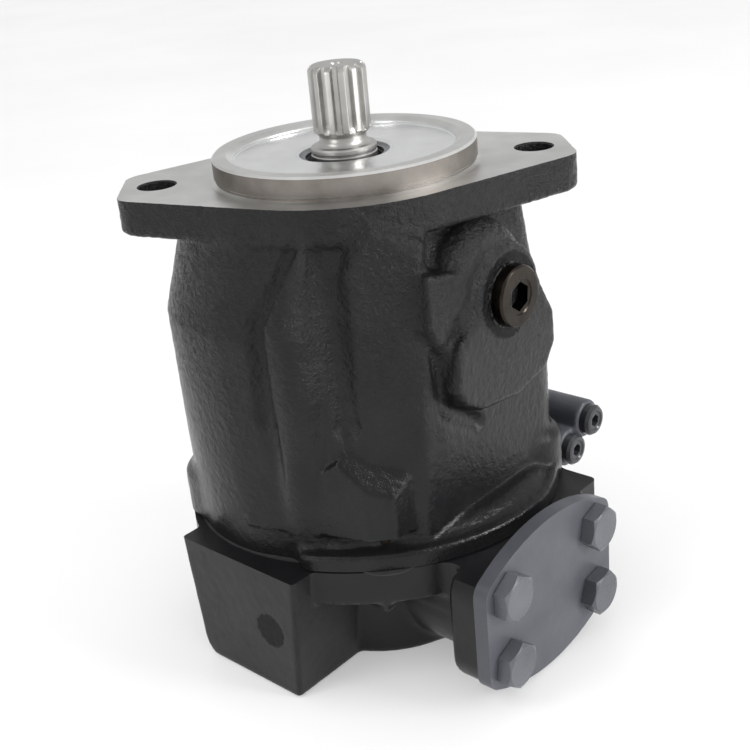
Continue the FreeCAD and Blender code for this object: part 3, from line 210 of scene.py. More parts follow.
def finish_bmesh(name, bm):
    bmesh.ops.recalc_face_normals(bm, faces=bm.faces)
    mesh = bpy.data.meshes.new(name)
    bm.to_mesh(mesh)
    bm.free()
    return link(name, mesh)


def lathe(name, profile, segments):
    """Turned solid about +Z from (radius, height) points in millimetres."""
    bm = bmesh.new()
    rings = []
    turn = [2 * math.pi * i / segments for i in range(segments)]
    for r, z in profile:
        if r < 1e-6:
            rings.append([bm.verts.new((0, 0, z * MM))])
            continue
        rings.append([bm.verts.new((r * MM * math.cos(a), r * MM * math.sin(a), z * MM)) for a in turn])
    for low, high in zip(rings, rings[1:] + rings[:1]):
        if len(low) == 1 and len(high) == 1:
            continue
        for i in range(segments):
            j = (i + 1) % segments
            if len(low) == 1:
                bm.faces.new((low[0], high[i], high[j]))
            elif len(high) == 1:
                bm.faces.new((low[i], low[j], high[0]))
            else:
                bm.faces.new((low[i], low[j], high[j], high[i]))
    return finish_bmesh(name, bm)


def prism(name, points, low, high):
    """Upright prism over a closed outline in millimetres."""
    bm = bmesh.new()
    bottom = [bm.verts.new((x * MM, y * MM, low * MM)) for x, y in points]
    top = [bm.verts.new((x * MM, y * MM, high * MM)) for x, y in points]
    bm.faces.new(bottom[::-1])
    bm.faces.new(top)
    for i in range(len(points)):
        bm.faces.new((bottom[i - 1], bottom[i], top[i], top[i - 1]))
    return finish_bmesh(name, bm)


def block(name, xs, ys, zs):
    """Box that cuts a flat face; its sides are gridded, so the holes in that face stay clean."""
    bm = bmesh.new()
    bmesh.ops.create_cube(bm, size=1.0)
    bmesh.ops.subdivide_edges(bm, edges=bm.edges[:], cuts=20, use_grid_fill=True)
    for vert in bm.verts:
        for axis, (low, high) in enumerate((xs, ys, zs)):
            vert.co[axis] = (low + (high - low) * (vert.co[axis] + 0.5)) * MM
    return finish_bmesh(name, bm)


def hexagon_points(flats, turn=0.0):
    r = flats / math.sqrt(3)
    corners = [math.radians(60 * i + turn) for i in range(6)]
    return [(r * math.cos(a), r * math.sin(a)) for a in corners]


def place(obj, matrix):
    """Move a piece's mesh, so that its object stays at the origin."""
    obj.data.transform(matrix)
    obj.data.update()
    return obj


PORT_TURN = Matrix.Rotation(math.radians(-45), 4, "Z")


def shift(x, y):
    """Matrix that moves a piece sideways, in millimetres."""
    return Matrix.Translation((x * MM, y * MM, 0))


def port_axis(u, w, z, along="u"):
    """Matrix that lays a piece built on +Z along the +u, -u, +w or -w axis, at a point in u, w, z."""
    sides = {"u": (HALF, -HALF), "-u": (-HALF, HALF), "w": (HALF, HALF), "-w": (-HALF, -HALF)}
    out = Vector((*sides[along], 0.0))
    up = Vector((0, 0, 1))
    across = up.cross(out)
    turn = Matrix((up, across, out)).transposed().to_4x4()
    at = Vector(((u + w) * HALF, (w - u) * HALF, z)) * MM
    return Matrix.Translation(at) @ turn


def boolean(target, cutters, operation="DIFFERENCE"):
    """Cut, join or trim a closed mesh with others, then remove them."""
    for cutter in cutters:
        mod = target.modifiers.new("cut", "BOOLEAN")
        mod.object = cutter
        mod.operation = operation
        mod.solver = "MANIFOLD"
    bake(target)
    for cutter in cutters:
        bpy.data.objects.remove(cutter)


def bake(obj):
    """Replace a piece's mesh with its modified one."""
    graph = bpy.context.evaluated_depsgraph_get()
    graph.update()
    mesh = bpy.data.meshes.new_from_object(obj.evaluated_get(graph))
    obj.modifiers.clear()
    old = obj.data
    obj.data = mesh
    bpy.data.meshes.remove(old)
    return obj


def bevel(obj, width, segments, angle):
    mod = obj.modifiers.new("bevel", "BEVEL")
    mod.width = width * MM
    mod.segments = segments
    mod.limit_method = "ANGLE"
    mod.angle_limit = math.radians(angle)
    return bake(obj)


def shade(obj, angle):
    """Smooth shading with sharp edges above an angle in degrees, and flat faces kept even."""
    mesh = obj.data
    mesh.shade_smooth()
    mesh.set_sharp_from_angle(angle=math.radians(angle))
    mod = obj.modifiers.new("normals", "WEIGHTED_NORMAL")
    mod.keep_sharp = True
    return bake(obj)


def join(name, parts):
    """One mesh from several, as separate solids in one piece."""
    bm = bmesh.new()
    for part in parts:
        bm.from_mesh(part.data)
        bpy.data.objects.remove(part)
    mesh = bpy.data.meshes.new(name)
    bm.to_mesh(mesh)
    bm.free()
    return link(name, mesh)


def roughen(obj, amount, size, top_amount=None):
    """Sand-cast unevenness: move points along their normals by smooth noise, more towards the top."""
    fade = (-100.0, -50.0)
    mesh = obj.data
    count = len(mesh.vertices)
    points = np.empty(count * 3, np.float32)
    mesh.vertices.foreach_get("co", points)
    points = points.reshape(-1, 3)
    normals = np.empty(count * 3, np.float32)
    mesh.vertex_normals.foreach_get("vector", normals)
    normals = normals.reshape(-1, 3)
    scale = 1.0 / (size * MM)
    lumps = np.array([noise.fractal(Vector(p) * scale, 0.6, 2.0, 3) for p in points.tolist()], np.float32)
    top = amount if top_amount is None else top_amount
    amounts = np.interp(points[:, 2] / MM, fade, (amount, top)).astype(np.float32)
    points += normals * (lumps * amounts * MM)[:, None]
    mesh.vertices.foreach_set("co", points.ravel())
    mesh.update()


# ---------------------------------------------------------------- materials

class Look:
    """A material being made, with short names for the nodes that it is built from."""

    def __init__(self, name):
        self.material = bpy.data.materials.new(name)
        self.material.use_nodes = True
        self.nodes = self.material.node_tree.nodes
        self.links = self.material.node_tree.links
        self.shader = self.nodes["Principled BSDF"]

    def feed(self, key, value):
        """Put a value into one of the shader's own inputs."""
        self.put(self.shader.inputs[key], value)

    def put(self, socket, value):
        """Set a socket to a number, or link a node's output to it."""
        if isinstance(value, (float, tuple)):
            socket.default_value = value
        else:
            self.links.new(value, socket)

    def coords(self, scale=(1.0, 1.0, 1.0)):
        coords = self.nodes.new("ShaderNodeTexCoord")
        mapping = self.nodes.new("ShaderNodeMapping")
        self.put(mapping.inputs["Scale"], scale)
        self.put(mapping.inputs["Vector"], coords.outputs["Object"])
        return mapping.outputs["Vector"]

    def split(self, vector):
        node = self.nodes.new("ShaderNodeSeparateXYZ")
        self.put(node.inputs["Vector"], vector)
        return node.outputs

    def noise(self, vector, scale, detail=4.0, rough=0.55):
        node = self.nodes.new("ShaderNodeTexNoise")
        for key, value in (("Scale", scale), ("Detail", detail), ("Roughness", rough), ("Vector", vector)):
            self.put(node.inputs[key], value)
        return node.outputs["Fac"]

    def tone(self, value, *stops):
        """Colour by value, between two (place, colour) stops."""
        node = self.nodes.new("ShaderNodeValToRGB")
        for element, (place_at, colour) in zip(node.color_ramp.elements, stops):
            element.position = place_at
            element.color = (*colour, 1.0)
        self.put(node.inputs["Fac"], value)
        return node.outputs["Color"]

    def span(self, value, low, high, to_low, to_high):
        """Value carried from one range to another."""
        node = self.nodes.new("ShaderNodeMapRange")
        for key, number in (("From Min", low), ("From Max", high), ("To Min", to_low), ("To Max", to_high)):
            self.put(node.inputs[key], number)
        self.put(node.inputs["Value"], value)
        return node.outputs["Result"]

    def calc(self, operation, a, b):
        """Result of one arithmetic operation."""
        node = self.nodes.new("ShaderNodeMath")
        node.operation = operation
        for socket, value in zip(node.inputs, (a, b)):
            self.put(socket, value)
        return node.outputs["Value"]

    def mix(self, a, share_a, b, share_b):
        """Weighted sum of two values."""
        return self.calc("ADD", self.calc("MULTIPLY", a, share_a), self.calc("MULTIPLY", b, share_b))

    def bump(self, height, distance):
        """Relief from a height, scaled to a distance in metres, on the shader's normal."""
        node = self.nodes.new("ShaderNodeBump")
        self.put(node.inputs["Strength"], 1.0)
        self.put(node.inputs["Distance"], distance)
        self.put(node.inputs["Height"], height)
        self.feed("Normal", node.outputs["Normal"])


def cast_paint(name, dark, light, rough, grain, spatter_scale):
    """Gloss paint over a sand casting: blotchy tone, grainy bump that is coarser towards the top."""
    look = Look(name)
    vector = look.coords()
    look.feed("Base Color", look.tone(look.noise(vector, 45.0, 5.0), (0.3, dark), (0.75, light)))
    patch = look.noise(vector, 160.0, 6.0, 0.65)
    look.feed("Roughness", look.span(patch, 0.3, 0.75, *rough))
    coarse = look.noise(vector, spatter_scale, 3.0, 0.6)
    fine = look.noise(vector, spatter_scale * 2.8, 3.0, 0.6)
    height = look.span(look.split(look.coords())["Z"], -0.095, -0.045, *grain)
    both = look.calc("ADD", coarse, look.calc("MULTIPLY", fine, 0.5))
    look.bump(look.calc("MULTIPLY", both, height), 0.001)
    look.feed("Specular IOR Level", 0.25)
    return look.material


def smooth_paint(name, dark, light, rough):
    """Semi-gloss paint with faint orange peel and dusty patches."""
    look = Look(name)
    vector = look.coords()
    look.feed("Base Color", look.tone(look.noise(vector, 38.0, 5.0), (0.32, dark), (0.72, light)))
    patch = look.noise(vector, 120.0, 6.0, 0.6)
    look.feed("Roughness", look.span(patch, 0.3, 0.75, *rough))
    look.bump(look.noise(vector, 900.0, 3.0), 0.00006)
    look.feed("Specular IOR Level", 0.30)
    return look.material


def turned_metal(name, dark, light, rough):
    """Machined metal with rings about the shaft axis and a little staining."""
    look = Look(name)
    coords = look.nodes.new("ShaderNodeTexCoord").outputs["Object"]
    split = look.split(coords)
    square = look.calc("ADD", look.calc("POWER", split["X"], 2.0), look.calc("POWER", split["Y"], 2.0))
    radius = look.calc("SQRT", square, 0.0)
    around = look.nodes.new("ShaderNodeCombineXYZ")
    look.put(around.inputs["X"], radius)
    look.put(around.inputs["Y"], split["Z"])
    lines = look.noise(around.outputs["Vector"], 1500.0, 4.0, 0.7)
    stain = look.noise(coords, 60.0, 4.0)
    look.feed("Base Color", look.tone(stain, (0.3, dark), (0.7, light)))
    look.feed("Roughness", look.span(look.mix(lines, 0.6, stain, 0.4), 0.3, 0.7, *rough))
    look.bump(lines, 0.00002)
    look.feed("Metallic", 1.0)
    look.feed("Anisotropic", 0.5)
    return look.material


def worn_metal(name, dark, light, rough):
    """Steel with fine drawn scratches and uneven tone."""
    look = Look(name)
    vector = look.coords()
    stretched = look.coords((2200.0, 2200.0, 140.0))
    stain = look.noise(vector, 90.0, 5.0)
    look.feed("Base Color", look.tone(stain, (0.3, dark), (0.7, light)))
    lines = look.noise(stretched, 1.0, 3.0)
    look.feed("Roughness", look.span(look.mix(lines, 0.5, stain, 0.5), 0.3, 0.7, *rough))
    look.bump(lines, 0.00003)
    look.feed("Metallic", 1.0)
    return look.material


def rubber(name, dark, light):
    look = Look(name)
    vector = look.coords()
    dust = look.noise(vector, 150.0, 5.0)
    look.feed("Base Color", look.tone(dust, (0.3, dark), (0.8, light)))
    look.feed("Roughness", look.span(dust, 0.3, 0.8, 0.6, 0.85))
    look.bump(look.noise(vector, 2500.0, 2.0), 0.00003)
    return look.material


def make_materials():
    """Every material by name, from its maker and the maker's numbers."""
    looks = {
        "cast_paint": (
            cast_paint, (0.0055, 0.0057, 0.006), (0.011, 0.0114, 0.0118),
            (0.16, 0.27), (0.26, 1.05), 520.0,
        ),
        "block_paint": (
            smooth_paint, (0.0045, 0.0047, 0.0052), (0.0080, 0.0084, 0.0092), (0.28, 0.44),
        ),
        "cover_paint": (
            smooth_paint, (0.062, 0.065, 0.075), (0.084, 0.088, 0.101), (0.34, 0.48),
        ),
        "bolt_paint": (
            smooth_paint, (0.066, 0.069, 0.079), (0.105, 0.110, 0.122), (0.20, 0.36),
        ),
        "bare_cast": (turned_metal, (0.55, 0.55, 0.54), (0.66, 0.66, 0.65), (0.30, 0.46)),
        # The recess floor and the pilot wall are the same machined metal as bare_cast. The recess floor's
        # copy is brighter, as painted light; its lower roughness is its finish. The pilot wall's copy is
        # much darker, as painted shade.
        "recess_floor_painted_light": (turned_metal, (0.72, 0.73, 0.73), (0.84, 0.85, 0.85), (0.16, 0.28)),
        "pilot_wall_painted_shade": (turned_metal, (0.15, 0.135, 0.12), (0.26, 0.24, 0.22), (0.36, 0.50)),
        "shaft_steel": (worn_metal, (0.38, 0.375, 0.36), (0.52, 0.51, 0.495), (0.28, 0.42)),
        "bearing_steel": (worn_metal, (0.50, 0.50, 0.50), (0.64, 0.64, 0.63), (0.12, 0.26)),
        "hard_steel": (worn_metal, (0.34, 0.34, 0.35), (0.46, 0.46, 0.47), (0.25, 0.42)),
        "bronze": (worn_metal, (0.50, 0.33, 0.15), (0.66, 0.46, 0.23), (0.25, 0.45)),
        "cage_steel": (worn_metal, (0.38, 0.37, 0.35), (0.52, 0.51, 0.49), (0.30, 0.45)),
        "spring_steel": (worn_metal, (0.16, 0.17, 0.19), (0.30, 0.30, 0.32), (0.28, 0.46)),
        "black_oxide": (
            worn_metal, (0.016, 0.013, 0.010), (0.040, 0.033, 0.027), (0.20, 0.36),
        ),
        "plug_paint": (
            smooth_paint, (0.024, 0.025, 0.028), (0.050, 0.052, 0.057), (0.18, 0.34),
        ),
        "zinc_steel": (worn_metal, (0.42, 0.42, 0.38), (0.56, 0.56, 0.52), (0.30, 0.45)),
        "rubber": (rubber, (0.012, 0.012, 0.012), (0.03, 0.03, 0.03)),
    }
    return {name: maker(name, *numbers) for name, (maker, *numbers) in looks.items()}


def dress(obj, material):
    obj.data.materials.clear()
    obj.data.materials.append(material)


def settle(obj, slot, body=HOUSING, *nodes):
    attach(obj, body)
    if nodes:
        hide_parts(*nodes)


# ---------------------------------------------------------------- cast housing

EAR_X, EAR_Y, EAR_R, HUB_R = 76.0, 11.0, 11.0, 59.5


def flange_outline(g):
    """Plan distance to the flange: a round hub joined by tangents to rounded ear ends."""
    inner = HUB_R - EAR_R
    tangent = math.acos(inner / math.hypot(EAR_X, EAR_Y)) + math.atan2(EAR_Y, EAR_X)
    points = []
    for side in (0, 1):
        turn = math.pi * side
        points.append((EAR_X * math.cos(turn), EAR_Y * math.cos(turn)))
        for i in range(13):
            a = turn + tangent + (math.pi - 2 * tangent) * i / 12
            points.append((inner * math.cos(a), inner * math.sin(a)))
        points.append((-EAR_X * math.cos(turn), EAR_Y * math.cos(turn)))
    return polygon(g.x, g.y, points) - EAR_R


def plane(g, normal, point):
    """Distance in front of a plane through a point."""
    size = math.sqrt(sum(n * n for n in normal))
    n = [c / size for c in normal]
    return (g.x - point[0]) * n[0] + (g.y - point[1]) * n[1] + (g.z - point[2]) * n[2]


def every(shapes, k):
    """Common part of several shapes, with edges rounded over about k."""
    field = shapes[0]
    for shape in shapes[1:]:
        field = smooth_max(field, shape, k)
    return field


def body_shape(g):
    """Case walls: tapering neck, shoulder and oval body, flat at the front and the suction side."""
    left = ramp(g.z, [(-141, 75.0), (-100, 76.0), (-48, 76.2), (-12, 65.5)])
    right = ramp(g.z, [(-141, 75.0), (-128, 75.3), (-84, 75.0), (-53, 70.8), (-36, 68.8), (-12, 66.5)])
    half_x = np.where(g.x < 0, left, right)
    half_y = ramp(g.z, [(-141, 62.0), (-100, 63.0), (-48, 63.0), (-12, 56.0)])
    body = rounded(ellipse(g.x, g.y, half_x, half_y), between(g.z, -150.0, 5.0), 1.0)
    facet = plane(g, (-0.407, -0.900, 0.158), (-37.3, -45.5, -10.5))
    body = smooth_max(body, np.where((g.x < -18.0) & (g.z > -48.5), facet, -20.0), 1.5)
    lower = plane(g, (-0.407, -0.900, 0.0), (-48.2, -47.6, -45.3))
    body = smooth_max(body, np.where((g.x < -18.0) & (g.z <= -48.5), lower, -20.0), 1.5)
    front = np.where(g.x > -12.0, -61.2 - g.y, -20.0)
    body = smooth_max(body, front, 2.0)
    side = ramp(g.z, [(-141, 58.0), (-58, 58.0), (-36, 53.0), (-12, 47.0)])
    return smooth_max(body, g.u - side, 4.0)


def front_pad(g):
    """Flat-faced bulge that runs up into the flange, its top edge falling towards the side lug."""
    corners = [
        (-7.5, -150), (-7.5, -24), (-2, -11.5), (5, -6.0),
        (23.5, -14.8), (23.5, -60), (21, -80), (21, -150),
    ]
    outline = polygon(g.x, g.z, corners)
    return rounded(outline, np.maximum(-62.2 - g.y, g.y + 30.0), 5.0)


def middle_rib(g):
    """Tall spearhead between two creases."""
    centre = ramp(g.z, [(-140, -27), (-59, -26), (-40, -27.0), (-3, -18.5)])
    half = ramp(g.z, [(-140, 10), (-95, 12.0), (-59, 13.2), (-40, 12.8), (-20, 7.5), (-3, 1.5)])
    out = ramp(g.z, [(-140, 8.0), (-95, 11.5), (-70, 15.5), (-45, 15.5), (-20, 10.0), (-3, 5.0)])
    rib = ellipse(g.x - centre, g.y + 49.5, half, out)
    return np.maximum(rib, between(g.z, -141.0, -3.0))


CREASES = [
    ((-18.5, -56.0, -4.0), (-39.5, -54.2, -42.0), 2.4, 5.2),
    ((-39.5, -54.2, -42.0), (-40.5, -54.6, -78.0), 5.2, 5.4),
    ((-40.5, -54.6, -78.0), (-39.5, -57.5, -112.0), 5.4, 3.0),
    ((-15.8, -58.5, -9.0), (-11.5, -63.4, -32.0), 2.6, 5.0),
    ((-11.5, -63.4, -32.0), (-10.5, -64.6, -82.0), 5.0, 5.2),
    ((-10.5, -64.6, -82.0), (-13.0, -66.5, -100.0), 5.2, 3.6),
    ((27.5, -57.5, -13.0), (24.0, -60.0, -24.0), 3.0, 2.0),
    ((21.5, -64.0, -28.0), (20.5, -64.0, -50.0), 2.6, 3.2),
    ((24.0, -58.5, -58.0), (29.0, -56.5, -80.0), 2.5, 4.0),
    ((29.5, -56.0, -82.0), (41.5, -43.5, -95.0), 5.0, 4.0),
]


def drain_boss(g):
    """Round boss behind the drain plug, with the plug's own flat pad on it."""
    boss = rounded(disc(g.w, g.z, 6.0, -42.0, 26.0), between(g.u, 20.0, 63.0), 9.5)
    corners = [
        (-4, -46), (-18, -58), (-20.5, -74), (-16, -81), (-6.5, -86.3), (17, -89.3),
        (37, -84.5), (43.3, -75), (43, -62), (36, -50), (30, -42),
    ]
    outline = polygon(g.w, g.z, corners)
    outline = smooth_min(outline, disc(g.w, g.z, DRAIN_W, DRAIN_Z, 19.5), 4.0)
    pad = rounded(outline, between(g.u, 20.0, DRAIN_FACE), 2.4)
    return boss, pad


def side_lug(g):
    """Wedge-shaped lug between the front pad and the drain boss."""
    upper = polygon(g.w, g.z, [(-30.5, -25.5), (-9, -30), (-9, -39.5), (-23, -54), (-27, -54), (-31, -46)])
    upper = rounded(upper, between(g.u, 30.0, 63.0), 2.0)
    lower = polygon(g.w, g.z, [(-26, -50), (-9, -34), (0, -52), (-12, -64), (-18, -63)])
    return smooth_min(upper, rounded(lower, between(g.u, 30.0, 60.0), 2.0), 1.5)


def front_lug(g):
    """Box-like lug above the joint, its top sloping forward."""
    faces = [
        plane(g, (-0.449, -0.893, 0), (-5.7, -69.0, 0)),
        -69.0 - g.y,
        plane(g, (0.644, -0.765, 0), (4.3, -69.0, 0)),
        plane(g, (0.354, -1.48, 1.0), (-1.0, -69.0, -107.5)),
        plane(g, (-0.75, 0.0, 1.0), (-11.3, -61.0, -91.6)),
        plane(g, (1.4, 0.0, 1.0), (8.5, -61.0, -99.0)),
        -127.0 - g.z,
        g.y + 45.0,
    ]
    return every(faces, 0.7)


def foot(g):
    """Rim over the joint, with a sloping ledge on the suction side and lugs over the block screws."""
    rim = ellipse(g.x, g.y, 77.0, 68.8)
    edge = rounded(rim, between(g.z, -150.0, -133.2), 1.6)
    edge = smooth_max(edge, -(g.x + 34.0), 4.0)
    slope = (rim + g.z + 137.0) * HALF
    ledge = every([rim, slope, g.z + 128.5, 44.0 - g.u], 3.0)
    lugs = None
    for x, y in SCREW_PLACES[:3]:
        lug = rounded(disc(g.x, g.y, x, y, 14.0), between(g.z, -150.0, JOINT + 20.0), 3.0)
        lugs = lug if lugs is None else np.minimum(lugs, lug)
    return edge, ledge, lugs


def housing_field(g):
    """Outer shape of the casting, before machining."""
    field = smooth_min(body_shape(g), front_pad(g), 2.5)
    field = smooth_min(field, middle_rib(g), 2.0)
    boss, pad = drain_boss(g)
    field = smooth_min(field, boss, 5.0)
    for start, end, r0, r1 in CREASES:
        field = smooth_max(field, -capsule(g, start, end, r0, r1), 2.2)
    field = smooth_min(field, side_lug(g), 2.2)
    field = smooth_min(field, pad, 2.2)
    field = smooth_min(field, front_lug(g), 1.2)
    edge, ledge, lugs = foot(g)
    field = smooth_min(field, lugs, 6.0)
    field = smooth_min(field, ledge, 1.2)
    field = smooth_min(field, edge, 2.5)
    valve_pad = box3(g.u, g.w, g.z, ((-28.0, 32.0), (30.0, 70.0), (-150.0, -110.0)), 3.0)
    field = smooth_min(field, valve_pad, 6.0)
    port = rounded(disc(g.w, g.z, -DRAIN_W, DRAIN_Z, 21.0), between(g.u, -DRAIN_FACE, -20.0), 2.0)
    field = smooth_min(field, port, 5.0)
    flange = rounded(flange_outline(g), between(g.z, -14.0, 20.0), 2.4)
    field = smooth_min(field, flange, 3.5)
    return np.maximum(field, np.abs(g.x) - FLANGE_END)


def machining_cutters():
    """Everything that is cut from the housing after casting."""
    wide = (-100, 100)
    cutters = [
        block("top", wide, wide, (0, 60)),
        block("joint", wide, wide, (-200, JOINT + GASKET_T)),
    ]
    for side in (-1, 1):
        hole = [(0, -20), (7.15, -20), (7.15, -0.6), (7.75, 0), (7.75, 1), (0, 1)]
        cutters.append(place(lathe("hole", hole, 48), shift(side * FLANGE_HOLE_X, 0)))
    spot_profile = [
        (0, -14.5), (10.5, -14.5), (10.5, -2.4), (11.4, -1.5), (17.0, -1.5), (17.0, 30), (0, 30),
    ]
    cutters.append(place(lathe("spot", spot_profile, 96), port_axis(DRAIN_FACE, DRAIN_W, DRAIN_Z)))
    cutters.append(place(lathe("spot", spot_profile, 96), port_axis(-DRAIN_FACE, -DRAIN_W, DRAIN_Z, "-u")))
    valve = block("valve", (-60, 60), (VALVE_FACE_W, 130), (-200, -104))
    cutters.append(place(valve, PORT_TURN))
    return cutters


def hollow_cutters():
    """The rooms inside the housing."""
    case = [
        (0, -142), (50, -142), (50, -48), (30, -46), (30, -22.5), (26, -22.5),
        (26, -5.3), (17.5, -5.3), (17.5, 1), (0, 1),
    ]
    rooms = [lathe("case", case, 96)]
    for w, along in ((DRAIN_W, "u"), (-DRAIN_W, "-u")):
        passage = lathe("passage", [(0, -DRAIN_FACE + 30), (6.5, -DRAIN_FACE + 30), (6.5, 0), (0, 0)], 48)
        rooms.append(place(passage, port_axis(DRAIN_FACE if w > 0 else -DRAIN_FACE, w, DRAIN_Z, along)))
    for side in (-1, 1):
        pocket = lathe("pocket", [(0, -142), (10, -142), (10, -46), (0, -46)], 48)
        rooms.append(place(pocket, shift(side * 51 * HALF, side * 51 * HALF)))
        for x, y in ((side * SCREW_X, 0), (0, side * SCREW_Y)):
            hole = lathe("thread", [(0, -142), (5, -142), (5, -122), (0, -120)], 24)
            rooms.append(place(hole, shift(x, y)))
    arms = block("arms", (-11, 11), (-61, 61), (-80, -45))
    rooms.append(place(arms, PORT_TURN))
    seat = lathe("seat", [(0, -39), (36.5, -39), (36.5, 39), (0, 39)], 96)
    rooms.append(place(seat, port_axis(0, 0, -66)))
    for u, z in VALVE_SCREWS:
        hole = lathe("thread", [(0, -9), (2.5, -9), (2.5, 2), (0, 2)], 24)
        rooms.append(place(hole, port_axis(u, VALVE_FACE_W, z, "w")))
    return rooms


PILOT_R, PILOT_TOP, RECESS_R, RECESS_FLOOR = 50.8, 9.2, 42.8, 6.5


def machined_ring():
    """Pilot ring with its groove at the foot, chamfer, recess and seal bore, turned as one."""
    profile = [
        (17.5, -4.0), (52.5, -4.0), (52.5, 0.02), (51.2, 0.02),
        (PILOT_R - 0.5, 0.4), (PILOT_R - 0.5, 1.3), (PILOT_R, 1.7),
        (PILOT_R, PILOT_TOP - 0.8), (PILOT_R - 0.8, PILOT_TOP), (RECESS_R + 2.4, PILOT_TOP),
        (RECESS_R + 0.6, PILOT_TOP - 1.0), (RECESS_R, PILOT_TOP - 1.8),
        (RECESS_R, RECESS_FLOOR + 0.4), (RECESS_R - 0.5, RECESS_FLOOR),
        (19.4, RECESS_FLOOR), (18.4, 5.8), (17.5, 5.8),
    ]
    return lathe("pilot_ring", profile, 192)


def build_housing(mats):
    step = 0.9
    g = Grid((-92, -78, -146), (92, 78, 6), step)
    obj = g.mesh("housing_casting", housing_field(g))
    roughen(obj, 0.10, 2.6, 0.22)
    boolean(obj, machining_cutters())
    boolean(obj, hollow_cutters())
    obj.data.materials.clear()
    for key in ("cast_paint", "bare_cast"):
        obj.data.materials.append(mats[key])
    for face in obj.data.polygons:
        on_face = abs(face.center.z) < 0.00002 and face.normal.z > 0.99
        face.material_index = 1 if on_face else 0
    shade(obj, 32)
    settle(obj, "cast_paint", HOUSING, "pump_housing")
    ring = shade(machined_ring(), 25)
    # Faces inside the recess take the brighter copy of the machined metal, as painted light. Upright faces
    # at and beyond the pilot wall take the darker copy, as painted shade.
    for key in ("bare_cast", "recess_floor_painted_light", "pilot_wall_painted_shade"):
        ring.data.materials.append(mats[key])
    for face in ring.data.polygons:
        reach = math.hypot(face.center.x, face.center.y) / MM
        upright = abs(face.normal.z) < 0.3
        if reach < RECESS_R:
            face.material_index = 1
        elif upright and reach > PILOT_R - 1.0:
            face.material_index = 2
    settle(ring, "cast_paint")


# ---------------------------------------------------------------- port block

COVER_HALF_W, COVER_HALF_H, COVER_ARC, COVER_CORNER = 42.0, 33.0, 80.0, 7.0


def cover_outline(a, b):
    """Oblong port outline: upright sides, arched top and bottom, rounded corners."""
    r = COVER_CORNER
    half_w, half_h = COVER_HALF_W - r, COVER_HALF_H - r
    arc = COVER_ARC - r
    top = disc(a, b, 0.0, PORT_Z - (arc - half_h), arc)
    bottom = disc(a, b, 0.0, PORT_Z + (arc - half_h), arc)
    arches = np.maximum(top, bottom)
    return rounded(arches, np.abs(a) - half_w, 0.0) - r


def block_field(g):
    plate = rounded(ellipse(g.x, g.y, 79.0, 69.0), between(g.z, -155.0, -120.0), 1.6)
    core = rounded(disc(g.x, g.y, 0, 0, 46.0), between(g.z, BLOCK_LOW, -120.0), 3.0)
    field = smooth_min(plate, core, 4.0)
    taper = (g.z - JOINT) * 0.09
    left = box3(g.u, g.w, g.z, ((-40.0, 25.0), (-77.0, 0.0), (BLOCK_LOW, -120.0)), 1.2)
    left = smooth_max(left, g.u - 25.0 - taper, 2.0)
    left = smooth_max(left, -40.0 - taper - g.u, 2.0)
    corner = (-(g.u + 40.0) - (g.z - BLOCK_LOW)) * HALF + 5.0
    left = smooth_max(left, corner, 4.0)
    field = smooth_min(field, left, 1.2)
    right = box3(g.u, g.w, g.z, ((0.0, 76.0), (0.0, 54.0), (-189.0, -120.0)), 2.5)
    field = smooth_min(field, right, 3.0)
    arm = rounded(disc(g.w, g.z, 0.0, BLOCK_LOW + 31.0, 31.0), between(g.u, 0.0, SUCTION_FACE - 6.0), 2.0)
    upper = box3(g.u, g.w, g.z, ((0.0, SUCTION_FACE - 6.0), (-31.0, 31.0), (BLOCK_LOW + 31.0, -120.0)), 2.0)
    field = smooth_min(field, smooth_min(arm, upper, 2.0), 4.0)
    flange = rounded(cover_outline(g.w, g.z), between(g.u, SUCTION_FACE - 12.0, SUCTION_FACE + 10.0), 1.6)
    field = smooth_min(field, flange, 2.5)
    pressure = box3(g.u, g.w, g.z, ((PRESSURE_FACE - 10.0, 0.0), (-32.0, 32.0), (BLOCK_LOW, -120.0)), 3.0)
    field = smooth_min(field, pressure, 5.0)
    tab = box3(g.u, g.w, g.z, ((38.2, 47.8), (-50.8, -41.2), (-158.5, -150.0)), 0.8)
    return np.maximum(smooth_min(field, tab, 1.2), BLOCK_LOW + 0.2 - g.z)


